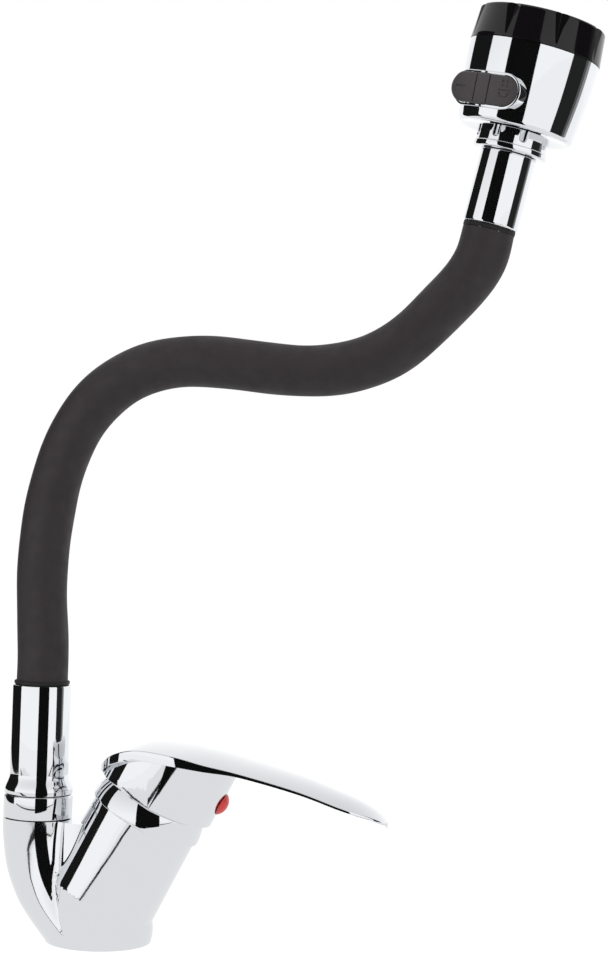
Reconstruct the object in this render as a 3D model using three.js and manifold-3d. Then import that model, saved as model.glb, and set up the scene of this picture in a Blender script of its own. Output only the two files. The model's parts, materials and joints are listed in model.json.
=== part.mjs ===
// Flexible kitchen faucet: a tilted mixer valve, a swivelling riser, a gooseneck hose that
// holds its bend, and a two-way spray head with a rocker.
//
// Millimetres, +Z up. The origin is the centre of the round foot where it meets the worktop.
// +X is the way the lever points, -Y is the hot side.

import * as THREE from 'three';
import { mergeVertices } from 'three/addons/utils/BufferGeometryUtils.js';
import Module from 'manifold-3d';

const wasm = await Module();
wasm.setup();

const degree = Math.PI / 180;

// Fits shared by all pieces
const seat_gap = 0.3; // between two pieces that touch
const turn_gap = 0.3; // radial gap of a shaft in its bore
const seal_gap = 0.1; // between a rubber ring and its groove or bore
const overrun = 1.5; // how far a cutting tool runs past what it cuts

// How finely round pieces are faceted
const large_sides = 26;
const medium_sides = 14;
const small_sides = 12;
const pin_sides = 8;
const arc_steps = 3;
const seal_sides = 4;
const hexagon_sides = 6;

// Body casting
const foot_radius = 22.9;
const pivot_reach = 19.5; // the lever's pivot, ahead of the foot's centre
const pivot_height = 55;
const barrel_tilt = 26.5 * degree;
const barrel_radius = 24;
const barrel_length = 39.9;
const riser_offset = 29.2; // the riser's axis, behind the foot's centre
const boss_radius = 15.2;
const boss_height = 52;
const boss_level_shares = [0, 0.08, 0.154, 0.308, 0.42, 0.535, 0.77, 1];
const boss_reach_shares = [0, 0.17, 0.325, 0.6, 0.74, 0.85, 0.965, 1];
const boss_narrowing_shares = [0, 0.17, 0.33, 0.61, 0.76, 0.87, 0.98, 1];
const web_reach = -8; // centre of the web that fills the fork, level with the boss's top
const web_radius = 12.5;

// Hollow of the foot, with the bosses for the supply hoses and the fixing stud
const foot_pocket_radius = 17.6;
const foot_pocket_depth = 13.2;
const drill_end_depth = 0.4; // past the thread of each hole in the foot
const boss_wall = 1.6;
const inlet_forward = 7.9;
const inlet_spacing = 15; // between the cold and the hot inlet
const inlet_thread_radius = 4.6;
const inlet_bore_radius = 3.1;
const stud_back = 9;
const stud_hole_radius = 3.4;
const gasket_inner_radius = 19.1;
const gasket_width = 2.2;
const gasket_thickness = 1.3;

// Cartridge, placed along the barrel's axis from the lever's pivot
const cartridge_radius = 17.5;
const cartridge_bottom = -33.7;
const cartridge_base_height = 4.3;
const port_forward = 4; // the inlets, ahead of the cartridge's axis
const outlet_back = 8;
const port_radius = 3.1;
const port_seal_width = 1.3;
const port_seal_height = 0.9;
const fixed_disc_height = 3.4;
const fixed_disc_radius = 13.9;
const moving_disc_radius = 10.3;
const moving_disc_height = 3.4;
const mixing_pocket_depth = 1.8;
const mixing_pocket_share = 0.62; // of the moving disc's radius
const carrier_height = 4;
const housing_bore_radius = 14.4;
const housing_shoulder = -12;
const housing_roof_thickness = 2;
const housing_neck_radius = 11.7;
const housing_neck_top = 3;
const guide_radius = 8.9;
const guide_flange_radius = 13.6;
const guide_flange_height = 2.4;
const guide_top = 5.4;
const guide_slot_length = 14;
const stem_width = 7.6;
const stem_top = 26;
const stem_eye_radius = 4.6;
const stem_arm_width = 5;
const stem_arm_reach = 18;
const stem_ball_radius = 2.5;
const stem_lean = 12 * degree; // half of the lever's lift
const pin_radius = 1.5;

// Cartridge nut and the domed ring over it
const nut_bore_radius = 20.5;
const nut_height = 7.4;
const nut_hex_radius = 16.4;
const nut_hex_height = 5;
const dome_radius = 25.3;
const dome_wall = 1.2;
const dome_band_height = 0.9;
const dome_opening_radius = 15.6;
const dome_spigot_depth = 3.3;
const dome_spigot_wall = 1.6;
const dome_inner_edge_share = 0.25; // of the way from the dome's base to where its inside meets the spigot

// Lever handle
const skirt_radius = 26.7;
const skirt_wall = 2.5;
const skirt_rim = 10.5; // above the pivot, along the barrel's axis
const skirt_cavity_top = 27;
const lever_length = 125.6;
const lever_back = 19.6; // the lever's back end, behind the pivot
const lever_rise = 33.4; // the crest, above the pivot
const lever_half_width = 27;
const lever_crown = 3.4;
const lever_thickness = 3;
const lever_edge_thickness = 4.4; // at the back, over the skirt
const lever_undercut_share = 0.04; // how much narrower the rim is at its lower edge
const lever_place_shares = [0, 0.02, 0.062, 0.118, 0.18, 0.3, 0.4, 0.51, 0.718, 0.843, 0.9, 0.952, 0.984, 1];
const lever_crest_shares = [0.68, 0.75, 0.88, 0.96, 1, 0.97, 0.91, 0.82, 0.62, 0.46, 0.38, 0.28, 0.19, 0.12];
const lever_width_shares = [0.14, 0.46, 0.71, 0.87, 0.96, 1, 0.95, 0.875, 0.72, 0.61, 0.54, 0.42, 0.27, 0.08];
const lever_crown_shares = [0.1, 0.3, 0.35, 0.35, 0.45, 0.65, 0.94, 0.9, 0.95, 1, 0.9, 0.6, 0.3, 0.06];
const lever_edge_shares = [0.6, 0.8, 0.95, 1, 1, 0.95, 0.65, 0.36, 0.3, 0.3, 0.3, 0.3, 0.3, 0.3];
const lever_stations = 15;
const lever_arc_steps = 6;
const boss_socket_radius = 7.4;
const boss_socket_start = 13;
const screw_height = 21.5;
const screw_radius = 2.4;
const screw_length = 5;
const button_radius = 5;
const button_shank_radius = 2.9;
const button_shank_length = 3.6;
const button_crown = 2.6;

// Riser, placed up from the top of the body's rear boss
const post_radius = 8;
const post_depth = 19.7;
const post_bore_radius = 6.9;
const post_head_radius = 11.5;
const post_head_height = 5.8;
const tail_radius = 6.55;
const tail_depth = 17;
const tail_bore_radius = 4.4;
const tail_collar_radius = 10.9;
const tail_collar_height = 2;
const tail_neck_radius = 9.2;
const tail_top = 30;
const ring_groove_depth = 1.15;
const ring_groove_width = 2.2;
const lower_ring_place = -12;
const upper_ring_place = -5;
const union_radius = 15.07;
const union_top = 10.4;
const union_lip_height = 1.6;
const sleeve_flare_radius = 14.9;
const sleeve_radius = 12.85;
const sleeve_shoulder_low = 12.2;
const sleeve_shoulder_high = 19.5;
const sleeve_top = 58.2;
const sleeve_wall = 1.3;
const hose_entry = 5.7; // how far the hose reaches into the riser sleeve
const end_ring_height = 1.3;
const end_ring_width = 0.6;

// Gooseneck hose. Each bend is the angle between two links, forward ones positive.
const hose_radius = 11.2;
const hose_wall = 1.4;
const link_pitch = 28;
const first_joint_height = 14.4; // above the riser sleeve
const last_joint_depth = 12; // below the neck ferrule
const hose_bend_degrees = [-3.4, 6.4, 8.6, 15.5, 26.5, 27.6, 14.2, -4.4, -20, -24, -12.2, -22];
const hose_inset_share = 1 / 20; // how far the cover cuts inside each bend
const hose_sides = 12;
const hose_steps = 2;
const link_sides = 9;
const ball_radius = 6.6;
const socket_gap = 0.9;
const socket_wall = 0.6;
const socket_grip = 27 * degree; // how far the socket's rim reaches past the ball's equator
const socket_floor = -45 * degree;
const ball_mouth_radius = 5.1;
const link_neck_radius = 3.9;
const link_bore_radius = 3.1;
const link_flare_start = 14;
const link_flare_end = 21.6;
const water_tube_radius = 2.2;
const water_tube_wall = 0.8;
const water_tube_bend = 5; // from a joint to where the tube's bend begins
const water_tube_sides = 6;

// Neck and spray head, placed from the neck ferrule's lower end
const ferrule_radius = 12;
const ferrule_wall = 1;
const ferrule_length = 30.8;
const ferrule_edge = 1.2;
const neck_plug_radius = 10.5;
const neck_plug_length = 24;
const neck_spigot_radius = 7;
const neck_spigot_length = 11;
const neck_flange_radius = 9.6;
const neck_flange_height = 2;
const neck_bore_radius = 3.6;
const collar_radius = 15.4;
const collar_bead_radius = 15.95;
const collar_bead_height = 2.6;
const collar_grips = 8;
const collar_grip_radius = 2.6;
const collar_grip_bite = 0.9;
const collar_lip = 1.6;
const shell_bottom_radius = 25;
const shell_bottom = 39.9;
const shell_seam_radius = 28;
const shell_belly = 0.55;
const shell_seam = 74.1;
const shell_wall = 1.9;
const shell_edge = 2.2;
const shell_dish = 1.8;
const face_ring_height = 14.5;
const face_ring_rim_radius = 26.8;
const face_ring_wall = 2.4;
const face_ring_rounding = 1.2;
const flute_count = 8;
const flute_width = 9;
const flute_depth = 1.3;
const core_radius = 11;
const core_flange_radius = 23.9;
const core_flange_height = 3;
const core_flange_level = 78;
const core_port_radius = 2;
const core_port_count = 8;
const plate_radius = 23.6;
const plate_thickness = 2;
const plate_recess = 2.2;
const nozzle_rings = [{ count: 8, share: 0.58 }, { count: 14, share: 0.84 }];
const nozzle_radius = 0.9;
const nozzle_height = 1.1;
const nozzle_sides = 4;
const aerator_radius = 8.2;
const aerator_height = 9;
const aerator_slots = 6;

// Mode rocker on the shell's side
const rocker_level = 52;
const rocker_turn = -122 * degree; // from the front, round the head
const rocker_length = 36;
const rocker_width = 12.6;
const rocker_thickness = 2.4;
const rocker_proud = 2.6; // its face, off the shell
const rocker_arch_radius = 80; // of its face, round the head
const rocker_lean = 6 * degree; // either side of square
const rocker_band = 6.4;
const rocker_groove = 0.5;
const trunnion_radius = 1;
const trunnion_length = 0.8;
const rocker_hub_radius = 1.9;
const rocker_arm_width = 2.4;
const rocker_arm_height = 5;
const rocker_arm_tip = 1.4;
const bezel_wall = 1.3;
const bezel_step = 1.3; // from the rocker's face down to the bezel's edge
const bezel_depth = 4.9; // from the rocker's face down to the pocket's floor
const shuttle_radius = 3;
const shuttle_length = 12;
const shuttle_offset = 6.6; // from the head's axis

// Colours
const chrome = { color: 0xd9dcdf, metalness: 1, roughness: 0.08 };
const brass = { color: 0xb99a4f, metalness: 1, roughness: 0.35 };
const steel = { color: 0x9a9ca0, metalness: 1, roughness: 0.3 };
const rubber = { color: 0x1b1b1c, metalness: 0, roughness: 0.8 };
const hose_rubber = { color: 0x2c292b, metalness: 0, roughness: 0.7 };
const gloss_black = { color: 0x0c0c0e, metalness: 0, roughness: 0.12 };
const dark_plastic = { color: 0x3c3a3d, metalness: 0, roughness: 0.55 };
const white_plastic = { color: 0xe6e4dd, metalness: 0, roughness: 0.5 };
const ceramic = { color: 0xefece4, metalness: 0, roughness: 0.25 };
const index_red = { color: 0xd9342b, metalness: 0, roughness: 0.3 };

// Geometry helpers

/** Shares vertices, drops empty triangles and turns all faces outwards. */
function finished(geometry) {
  const bare = geometry.index ? geometry.clone() : mergeVertices(geometry);
  bare.deleteAttribute('normal');
  bare.deleteAttribute('uv');
  const welded = mergeVertices(bare);
  const index = welded.index.array;
  const kept = [];
  for (let i = 0; i < index.length; i += 3) {
    const [a, b, c] = [index[i], index[i + 1], index[i + 2]];
    if (a !== b && b !== c && c !== a) kept.push(a, b, c);
  }
  const corner = (n) => new THREE.Vector3().fromBufferAttribute(welded.attributes.position, n);
  let volume = 0;
  for (let i = 0; i < kept.length; i += 3) {
    const [a, b, c] = [corner(kept[i]), corner(kept[i + 1]), corner(kept[i + 2])];
    volume += a.dot(b.cross(c));
  }
  if (volume < 0) kept.reverse();
  welded.setIndex(kept);
  return welded;
}

function asSolid(geometry) {
  const whole = finished(geometry);
  return new wasm.Manifold(new wasm.Mesh({
    numProp: 3,
    vertProperties: new Float32Array(whole.attributes.position.array),
    triVerts: new Uint32Array(whole.index.array),
  }));
}

function asGeometry(solid) {
  const mesh = solid.getMesh();
  const geometry = new THREE.BufferGeometry();
  geometry.setAttribute('position', new THREE.Float32BufferAttribute(mesh.vertProperties, 3));
  geometry.setIndex(Array.from(mesh.triVerts));
  return geometry;
}

const joined = (...parts) =>
  asGeometry(parts.map(asSolid).reduce((whole, part) => whole.add(part)));
const cut = (from, ...tools) =>
  asGeometry(tools.map(asSolid).reduce((whole, tool) => whole.subtract(tool), asSolid(from)));
const shared = (...parts) =>
  asGeometry(parts.map(asSolid).reduce((whole, part) => whole.intersect(part)));

/** Turns a profile of [radius, height] points about Z. It starts and ends on the axis, or closes. */
function turned(profile, sides) {
  const onAxis = profile[0][0] === 0;
  const points = (onAxis ? profile : [...profile, profile[0]]).map(([r, z]) => new THREE.Vector2(r, z));
  return finished(new THREE.LatheGeometry(points, sides).rotateX(Math.PI / 2));
}

const rod = (radius, low, high, sides) =>
  turned([[0, low], [radius, low], [radius, high], [0, high]], sides);
const ring = (inner, outer, low, high, sides) =>
  turned([[inner, low], [outer, low], [outer, high], [inner, high]], sides);

/** A rod from one point to another. */
function rodBetween(start, end, radius, sides) {
  const along = end.clone().sub(start);
  const geometry = rod(radius, 0, along.length(), sides);
  const turn = new THREE.Quaternion().setFromUnitVectors(new THREE.Vector3(0, 0, 1), along.normalize());
  return geometry.applyQuaternion(turn).translate(start.x, start.y, start.z);
}

/** A box by its lowest corner and its size. */
const block = (x, y, z, width, depth, height) =>
  new THREE.BoxGeometry(width, depth, height).translate(x + width / 2, y + depth / 2, z + height / 2);

/** An outline extruded up from a level. */
const extruded = (shape, low, height, curveSegments) =>
  new THREE.ExtrudeGeometry(shape, { depth: height, bevelEnabled: false, curveSegments }).translate(0, 0, low);

/** A hexagon by the distance of its corners. */
function hexagonShape(radius) {
  return new THREE.Shape(Array.from({ length: hexagon_sides }, (_, i) => {
    const angle = (i / hexagon_sides) * 2 * Math.PI;
    return new THREE.Vector2(radius * Math.cos(angle), radius * Math.sin(angle));
  }));
}

/** Loops of equally many points, skinned in order; the ends are capped, or the last meets the first. */
function lofted(loops, { closed = false } = {}) {
  const count = loops[0].length;
  const points = loops.flat();
  const index = [];
  const last = closed ? loops.length : loops.length - 1;
  for (let i = 0; i < last; i += 1) {
    const here = i * count;
    const next = ((i + 1) % loops.length) * count;
    for (let j = 0; j < count; j += 1) {
      const k = (j + 1) % count;
      index.push(here + j, here + k, next + k, here + j, next + k, next + j);
    }
  }
  if (!closed) {
    const far = (loops.length - 1) * count;
    for (let j = 1; j < count - 1; j += 1) {
      index.push(0, j + 1, j, far, far + j, far + j + 1);
    }
  }
  const geometry = new THREE.BufferGeometry().setFromPoints(points);
  geometry.setIndex(index);
  return finished(geometry);
}

/** A circle whose plane is tipped forward by tilt, as a loop of points. */
function loopAt(x, z, tilt, radius, sides) {
  return Array.from({ length: sides }, (_, i) => {
    const angle = (i / sides) * 2 * Math.PI;
    const across = radius * Math.cos(angle);
    const y = radius * Math.sin(angle);
    return new THREE.Vector3(x + across * Math.cos(tilt), y, z - across * Math.sin(tilt));
  });
}

/** Points of an arc about a centre on the axis, from one elevation to another, as [radius, height]. */
function arcProfile(radius, centre, from, to, steps) {
  return Array.from({ length: steps + 1 }, (_, i) => {
    const elevation = from + ((to - from) * i) / steps;
    return [radius * Math.cos(elevation), centre + radius * Math.sin(elevation)];
  });
}

const faucet = new THREE.Group();

function piece(parent, name, geometry, finish) {
  const mesh = new THREE.Mesh(finished(geometry), new THREE.MeshStandardMaterial(finish));
  mesh.name = name;
  parent.add(mesh);
  return mesh;
}

// Body casting: the foot, the tilted barrel and the rear boss that the riser stands on

/** A point of the barrel's own frame, in the faucet's frame. */
function fromBarrel(x, y, z) {
  const [s, c] = [Math.sin(barrel_tilt), Math.cos(barrel_tilt)];
  return new THREE.Vector3(pivot_reach + x * c + z * s, y, pivot_height - x * s + z * c);
}

function bodyOuter() {
  const barrelLow = fromBarrel(0, 0, -barrel_length);
  const barrelHigh = fromBarrel(0, 0, -seat_gap);
  const footLoop = loopAt(0, 0, 0, foot_radius, large_sides);
  const barrelLowLoop = loopAt(barrelLow.x, barrelLow.z, barrel_tilt, barrel_radius, large_sides);
  const barrelHighLoop = loopAt(barrelHigh.x, barrelHigh.z, barrel_tilt, barrel_radius, large_sides);
  const barrel = lofted([footLoop, barrelLowLoop, barrelHighLoop]);
  const boss = lofted(boss_level_shares.map((level, i) => loopAt(
    -riser_offset * boss_reach_shares[i],
    boss_height * level,
    0,
    foot_radius + (boss_radius - foot_radius) * boss_narrowing_shares[i],
    large_sides,
  )));
  const web = lofted([
    loopAt(0, seat_gap, 0, foot_radius - seat_gap, large_sides),
    loopAt(web_reach, boss_height, 0, web_radius, large_sides),
  ]);
  return joined(barrel, boss, web);
}

// the end of a threaded hole, in the roof of the foot's hollow
const drillEnd = (bore) =>
  rod(bore - seat_gap, 0, foot_pocket_depth + drill_end_depth, small_sides);

function bodyCavities() {
  const floor = cartridge_bottom - seat_gap;
  const inBarrel = (geometry) => geometry.rotateY(barrel_tilt).translate(pivot_reach, 0, pivot_height);
  const nutSeat = housing_shoulder - seat_gap;
  const cavities = [
    inBarrel(rod(cartridge_radius + turn_gap, floor, overrun, medium_sides)),
    inBarrel(rod(nut_bore_radius, nutSeat, overrun, large_sides)),
    rod(post_radius + seat_gap, boss_height - post_depth - seat_gap, boss_height + overrun, medium_sides)
      .translate(-riser_offset, 0, 0),
    rod(foot_pocket_radius, -overrun, foot_pocket_depth, large_sides),
    ring(
      gasket_inner_radius - seat_gap,
      gasket_inner_radius + gasket_width + seat_gap,
      -overrun,
      gasket_thickness + seat_gap,
      medium_sides,
    ),
  ];
  for (const side of [-1, 1]) {
    const y = (side * inlet_spacing) / 2;
    const top = fromBarrel(port_forward, y, floor).z + overrun;
    cavities.push(
      rod(inlet_bore_radius, 0, top, small_sides).translate(inlet_forward, y, 0),
      drillEnd(inlet_thread_radius).translate(inlet_forward, y, 0),
    );
  }
  cavities.push(drillEnd(stud_hole_radius).translate(-stud_back, 0, 0));
  // the outlet drops from the cartridge's seat and crosses to the riser's bore
  const elbow = fromBarrel(-outlet_back, 0, floor - 2 * port_radius);
  const riserFoot = new THREE.Vector3(-riser_offset, 0, boss_height - post_depth - 2 * seat_gap);
  const drop = rod(port_radius, floor - 3 * port_radius, floor + overrun, small_sides);
  cavities.push(
    inBarrel(drop.translate(-outlet_back, 0, 0)),
    rodBetween(elbow, riserFoot, port_radius, small_sides),
    rod(post_bore_radius, riserFoot.z - port_radius, riserFoot.z + overrun, small_sides)
      .translate(-riser_offset, 0, 0),
  );
  return cavities;
}

/** A threaded boss that stands in the foot's hollow. */
const footBoss = (bore) =>
  ring(bore, bore + boss_wall, 0, foot_pocket_depth - seat_gap, small_sides);

/** The rib across the hollow, between the inlets and the stud. */
function footRib() {
  const front = inlet_forward - inlet_thread_radius - boss_wall - seat_gap;
  const back = stud_hole_radius + boss_wall + seat_gap - stud_back;
  const reach = Math.sqrt((foot_pocket_radius - seat_gap) ** 2 - back ** 2);
  return block(back, -reach, 0, front - back, 2 * reach, foot_pocket_depth - seat_gap);
}

piece(faucet, 'body_casting', cut(bodyOuter(), ...bodyCavities()), chrome);
for (const [name, y] of [['cold_inlet_boss', inlet_spacing / 2], ['hot_inlet_boss', -inlet_spacing / 2]]) {
  piece(faucet, name, footBoss(inlet_thread_radius).translate(inlet_forward, y, 0), brass);
}
piece(faucet, 'stud_boss', footBoss(stud_hole_radius).translate(-stud_back, 0, 0), brass);
piece(faucet, 'foot_rib', footRib(), brass);
piece(
  faucet,
  'base_gasket',
  ring(gasket_inner_radius, gasket_inner_radius + gasket_width, 0, gasket_thickness, medium_sides),
  rubber,
);

// Mixer cartridge, in the barrel's frame: Z along the barrel, origin at the lever's pivot

const barrel = new THREE.Group();
barrel.position.set(pivot_reach, 0, pivot_height);
barrel.rotation.y = barrel_tilt;
faucet.add(barrel);

const portSealTop = cartridge_bottom + port_seal_height;
const baseTop = cartridge_bottom + cartridge_base_height;
const fixedDiscLow = baseTop + seat_gap;
const fixedDiscHigh = fixedDiscLow + fixed_disc_height;
const movingDiscLow = fixedDiscHigh + seat_gap;
const movingDiscHigh = movingDiscLow + moving_disc_height;
const carrierLow = movingDiscHigh + seat_gap;
const carrierHigh = carrierLow + carrier_height;
const discShift = -stem_arm_reach * Math.sin(stem_lean);
const portPlaces = [
  ['cold', port_forward, inlet_spacing / 2],
  ['hot', port_forward, -inlet_spacing / 2],
  ['outlet', -outlet_back, 0],
];

function cartridgeBase() {
  const sealRadius = port_radius + port_seal_width + seat_gap;
  const tools = portPlaces.flatMap(([, x, y]) => [
    rod(port_radius, cartridge_bottom - overrun, baseTop + overrun, small_sides).translate(x, y, 0),
    rod(sealRadius, cartridge_bottom - overrun, portSealTop + seat_gap, small_sides).translate(x, y, 0),
  ]);
  return cut(rod(cartridge_radius, cartridge_bottom, baseTop, medium_sides), ...tools);
}

function cartridgeHousing() {
  const low = baseTop + seat_gap;
  const roof = housing_shoulder - housing_roof_thickness;
  const neckBore = guide_radius + turn_gap;
  return turned([
    [housing_bore_radius, low],
    [cartridge_radius, low],
    [cartridge_radius, housing_shoulder],
    [housing_neck_radius, housing_shoulder],
    [housing_neck_radius, housing_neck_top],
    [neckBore, housing_neck_top],
    [neckBore, roof],
    [housing_bore_radius, roof],
  ], medium_sides);
}

function fixedDisc() {
  const holes = portPlaces.map(([, x, y]) =>
    rod(port_radius, fixedDiscLow - overrun, fixedDiscHigh + overrun, small_sides).translate(x, y, 0));
  return cut(rod(fixed_disc_radius, fixedDiscLow, fixedDiscHigh, medium_sides), ...holes);
}

function movingDisc() {
  const pocketRadius = moving_disc_radius * mixing_pocket_share;
  const pocketTop = movingDiscLow + mixing_pocket_depth;
  const pocket = rod(pocketRadius, movingDiscLow - overrun, pocketTop, small_sides);
  return cut(rod(moving_disc_radius, movingDiscLow, movingDiscHigh, medium_sides), pocket)
    .translate(discShift, 0, 0);
}

function discCarrier() {
  const slotWidth = 2 * (stem_ball_radius + seat_gap);
  const slotLow = carrierLow + seat_gap;
  const slot = block(-slotWidth / 2, -slotWidth / 2, slotLow, slotWidth, slotWidth, carrier_height + overrun);
  return cut(rod(moving_disc_radius, carrierLow, carrierHigh, medium_sides), slot).translate(discShift, 0, 0);
}

function spindleGuide() {
  const flangeHigh = housing_shoulder - housing_roof_thickness - seat_gap;
  const flangeLow = flangeHigh - guide_flange_height;
  const turnedBody = turned([
    [0, flangeLow],
    [guide_flange_radius, flangeLow],
    [guide_flange_radius, flangeHigh],
    [guide_radius, flangeHigh],
    [guide_radius, guide_top],
    [0, guide_top],
  ], medium_sides);
  const slotDepth = stem_width + 2 * seat_gap;
  const slot = block(
    -guide_slot_length / 2,
    -slotDepth / 2,
    flangeLow - overrun,
    guide_slot_length,
    slotDepth,
    guide_top - flangeLow + 2 * overrun,
  );
  const pinBore = rod(pin_radius + seat_gap, -guide_radius - overrun, guide_radius + overrun, pin_sides)
    .rotateX(Math.PI / 2);
  return cut(turnedBody, slot, pinBore);
}

function leverStem() {
  const shank = block(-stem_width / 2, -stem_width / 2, 0, stem_width, stem_width, stem_top);
  const eye = rod(stem_eye_radius, -stem_width / 2, stem_width / 2, small_sides).rotateX(Math.PI / 2);
  const armSide = -stem_arm_width / 2;
  const arm = block(armSide, armSide, -stem_arm_reach, stem_arm_width, stem_arm_width, stem_arm_reach);
  const armBall = new THREE.SphereGeometry(stem_ball_radius, pin_sides, pin_sides / 2)
    .translate(0, 0, -stem_arm_reach);
  const pinHole = rod(pin_radius + seat_gap, -stem_width, stem_width, pin_sides).rotateX(Math.PI / 2);
  return cut(joined(shank, eye, arm, armBall), pinHole).rotateY(stem_lean);
}

piece(barrel, 'cartridge_base', cartridgeBase(), white_plastic);
const portSeal = () =>
  ring(port_radius, port_radius + port_seal_width, cartridge_bottom, portSealTop, small_sides);
for (const [name, x, y] of portPlaces) {
  piece(barrel, `port_seal_${name}`, portSeal().translate(x, y, 0), rubber);
}
piece(barrel, 'cartridge_housing', cartridgeHousing(), white_plastic);
piece(barrel, 'fixed_ceramic_disc', fixedDisc(), ceramic);
piece(barrel, 'moving_ceramic_disc', movingDisc(), ceramic);
piece(barrel, 'disc_carrier', discCarrier(), white_plastic);
piece(barrel, 'spindle_guide', spindleGuide(), white_plastic);
piece(barrel, 'lever_stem', leverStem(), brass);
piece(
  barrel,
  'stem_pin',
  rod(pin_radius, -guide_radius + seat_gap, guide_radius - seat_gap, pin_sides).rotateX(Math.PI / 2),
  steel,
);

// Nut that holds the cartridge down, and the domed ring that hides it

function cartridgeNut() {
  const low = housing_shoulder + seat_gap;
  const high = low + nut_height;
  const top = high + nut_hex_height;
  const bore = rod(housing_neck_radius + seat_gap, low - overrun, top + overrun, medium_sides);
  return cut(
    joined(
      rod(nut_bore_radius - seat_gap, low, high, medium_sides),
      extruded(hexagonShape(nut_hex_radius), high - overrun, nut_hex_height + overrun, 1),
    ),
    bore,
  );
}

function domeRing() {
  const top = Math.acos(dome_opening_radius / dome_radius);
  const inner = dome_radius - dome_wall;
  const innerTop = Math.acos(dome_opening_radius / inner);
  const spigot = nut_bore_radius - seat_gap;
  const innerLow = Math.acos((spigot - dome_spigot_wall) / inner) * dome_inner_edge_share;
  return turned([
    [spigot - dome_spigot_wall, -dome_spigot_depth],
    [spigot, -dome_spigot_depth],
    [spigot, 0],
    [dome_radius - dome_band_height / 2, 0],
    [dome_radius, dome_band_height / 2],
    ...arcProfile(dome_radius, 0, dome_band_height / dome_radius, top, arc_steps + 1),
    ...arcProfile(inner, 0, innerTop, innerLow, arc_steps - 1),
    [spigot - dome_spigot_wall, inner * Math.sin(innerLow)],
  ], large_sides);
}

piece(barrel, 'cartridge_nut', cartridgeNut(), brass);
piece(barrel, 'dome_ring', domeRing(), chrome);

// Lever handle: a crowned leaf over a round skirt. It is drawn upright about the pivot.

function leverCurve() {
  return new THREE.CatmullRomCurve3(lever_place_shares.map((place, i) => new THREE.Vector3(
    place * lever_length - lever_back,
    lever_half_width * lever_width_shares[i],
    lever_rise * lever_crest_shares[i],
  )), false, 'centripetal');
}

/** A table of shares read between its entries. */
function shareAt(shares, u) {
  const place = u * (shares.length - 1);
  const i = Math.min(Math.floor(place), shares.length - 2);
  return shares[i] + (shares[i + 1] - shares[i]) * (place - i);
}

/** The lever's leaf, as loops across it. The underside follows the top, or is flat at a level. */
function leverLeaf(drop, flatLevel) {
  const curve = leverCurve();
  const loops = Array.from({ length: lever_stations }, (_, n) => {
    const u = n / (lever_stations - 1);
    const { x, y: halfWidth, z: crest } = curve.getPoint(u);
    const crown = lever_crown * shareAt(lever_crown_shares, u);
    const edge = lever_edge_thickness * shareAt(lever_edge_shares, u);
    const top = [];
    const bottom = [];
    for (let i = 0; i <= lever_arc_steps; i += 1) {
      const across = -1 + (2 * i) / lever_arc_steps;
      const z = crest - drop - crown * across * across;
      const thickness = lever_thickness + (edge - lever_thickness) * Math.abs(across);
      const low = flatLevel === undefined ? z - thickness : flatLevel;
      top.push(new THREE.Vector3(x, across * halfWidth, z));
      bottom.unshift(new THREE.Vector3(x, across * halfWidth * (1 - lever_undercut_share), low));
    }
    return [...top, ...bottom];
  });
  return lofted(loops);
}

function leverHandle() {
  const upright = (geometry) => geometry.rotateY(barrel_tilt);
  const deep = -skirt_radius;
  const skirt = shared(
    upright(rod(skirt_radius, skirt_rim, skirt_radius + lever_rise, large_sides)),
    leverLeaf(0, deep),
  );
  const cavity = shared(
    upright(rod(skirt_radius - skirt_wall, skirt_rim - overrun, skirt_cavity_top, large_sides)),
    leverLeaf(lever_thickness, deep),
  );
  const inStem = (geometry) => geometry.rotateY(stem_lean + barrel_tilt);
  const socketTop = skirt_cavity_top + lever_thickness / 2;
  const socket = inStem(rod(boss_socket_radius, boss_socket_start, socketTop, medium_sides));
  const holeWidth = stem_width + 2 * seat_gap;
  const stemHole = inStem(block(
    -holeWidth / 2,
    -holeWidth / 2,
    boss_socket_start - overrun,
    holeWidth,
    holeWidth,
    stem_top + seat_gap - boss_socket_start + overrun,
  ));
  const frontHole = (radius, from, to) =>
    upright(rod(radius, from, to, small_sides).rotateY(Math.PI / 2).translate(0, 0, screw_height));
  const shell = cut(joined(leverLeaf(0), skirt), cavity);
  return cut(
    joined(shell, socket),
    stemHole,
    frontHole(screw_radius + seat_gap, stem_width / 2, skirt_radius - skirt_wall),
    frontHole(button_shank_radius + seat_gap, skirt_radius - 2 * skirt_wall, skirt_radius + overrun),
  ).rotateY(-barrel_tilt);
}

function frontPiece(geometry) {
  return geometry.rotateY(Math.PI / 2).translate(0, 0, screw_height);
}

function setScrew() {
  const leanAtScrew = screw_height * Math.tan(stem_lean) + stem_width / 2 / Math.cos(stem_lean);
  const start = leanAtScrew + 2 * seat_gap;
  const socket = extruded(hexagonShape(screw_radius / 2), start + screw_length / 2, screw_length, 1);
  return frontPiece(cut(rod(screw_radius, start, start + screw_length, small_sides), socket));
}

function indexButton() {
  // a low dome on a shank: the dome's back rests on the round skirt
  const back = skirt_radius + seat_gap;
  const domeRadius = (button_radius ** 2 + button_crown ** 2) / (2 * button_crown);
  const edge = Math.asin((domeRadius - button_crown) / domeRadius);
  const dome = turned([
    [0, back],
    [button_radius, back],
    ...arcProfile(domeRadius, back + button_crown - domeRadius, edge, Math.PI / 2, arc_steps).slice(1, -1),
    [0, back + button_crown],
  ], small_sides);
  const shank = rod(button_shank_radius, back - button_shank_length, back + button_crown / 2, small_sides);
  const skirtFit = rod(skirt_radius + seat_gap, -button_radius * 2, button_radius * 2, large_sides * 2)
    .rotateY(-Math.PI / 2);
  return frontPiece(joined(cut(dome, skirtFit), shank));
}

piece(barrel, 'lever_handle', leverHandle(), chrome);
piece(barrel, 'handle_set_screw', setScrew(), steel);
piece(barrel, 'index_button', indexButton(), index_red);

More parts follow.
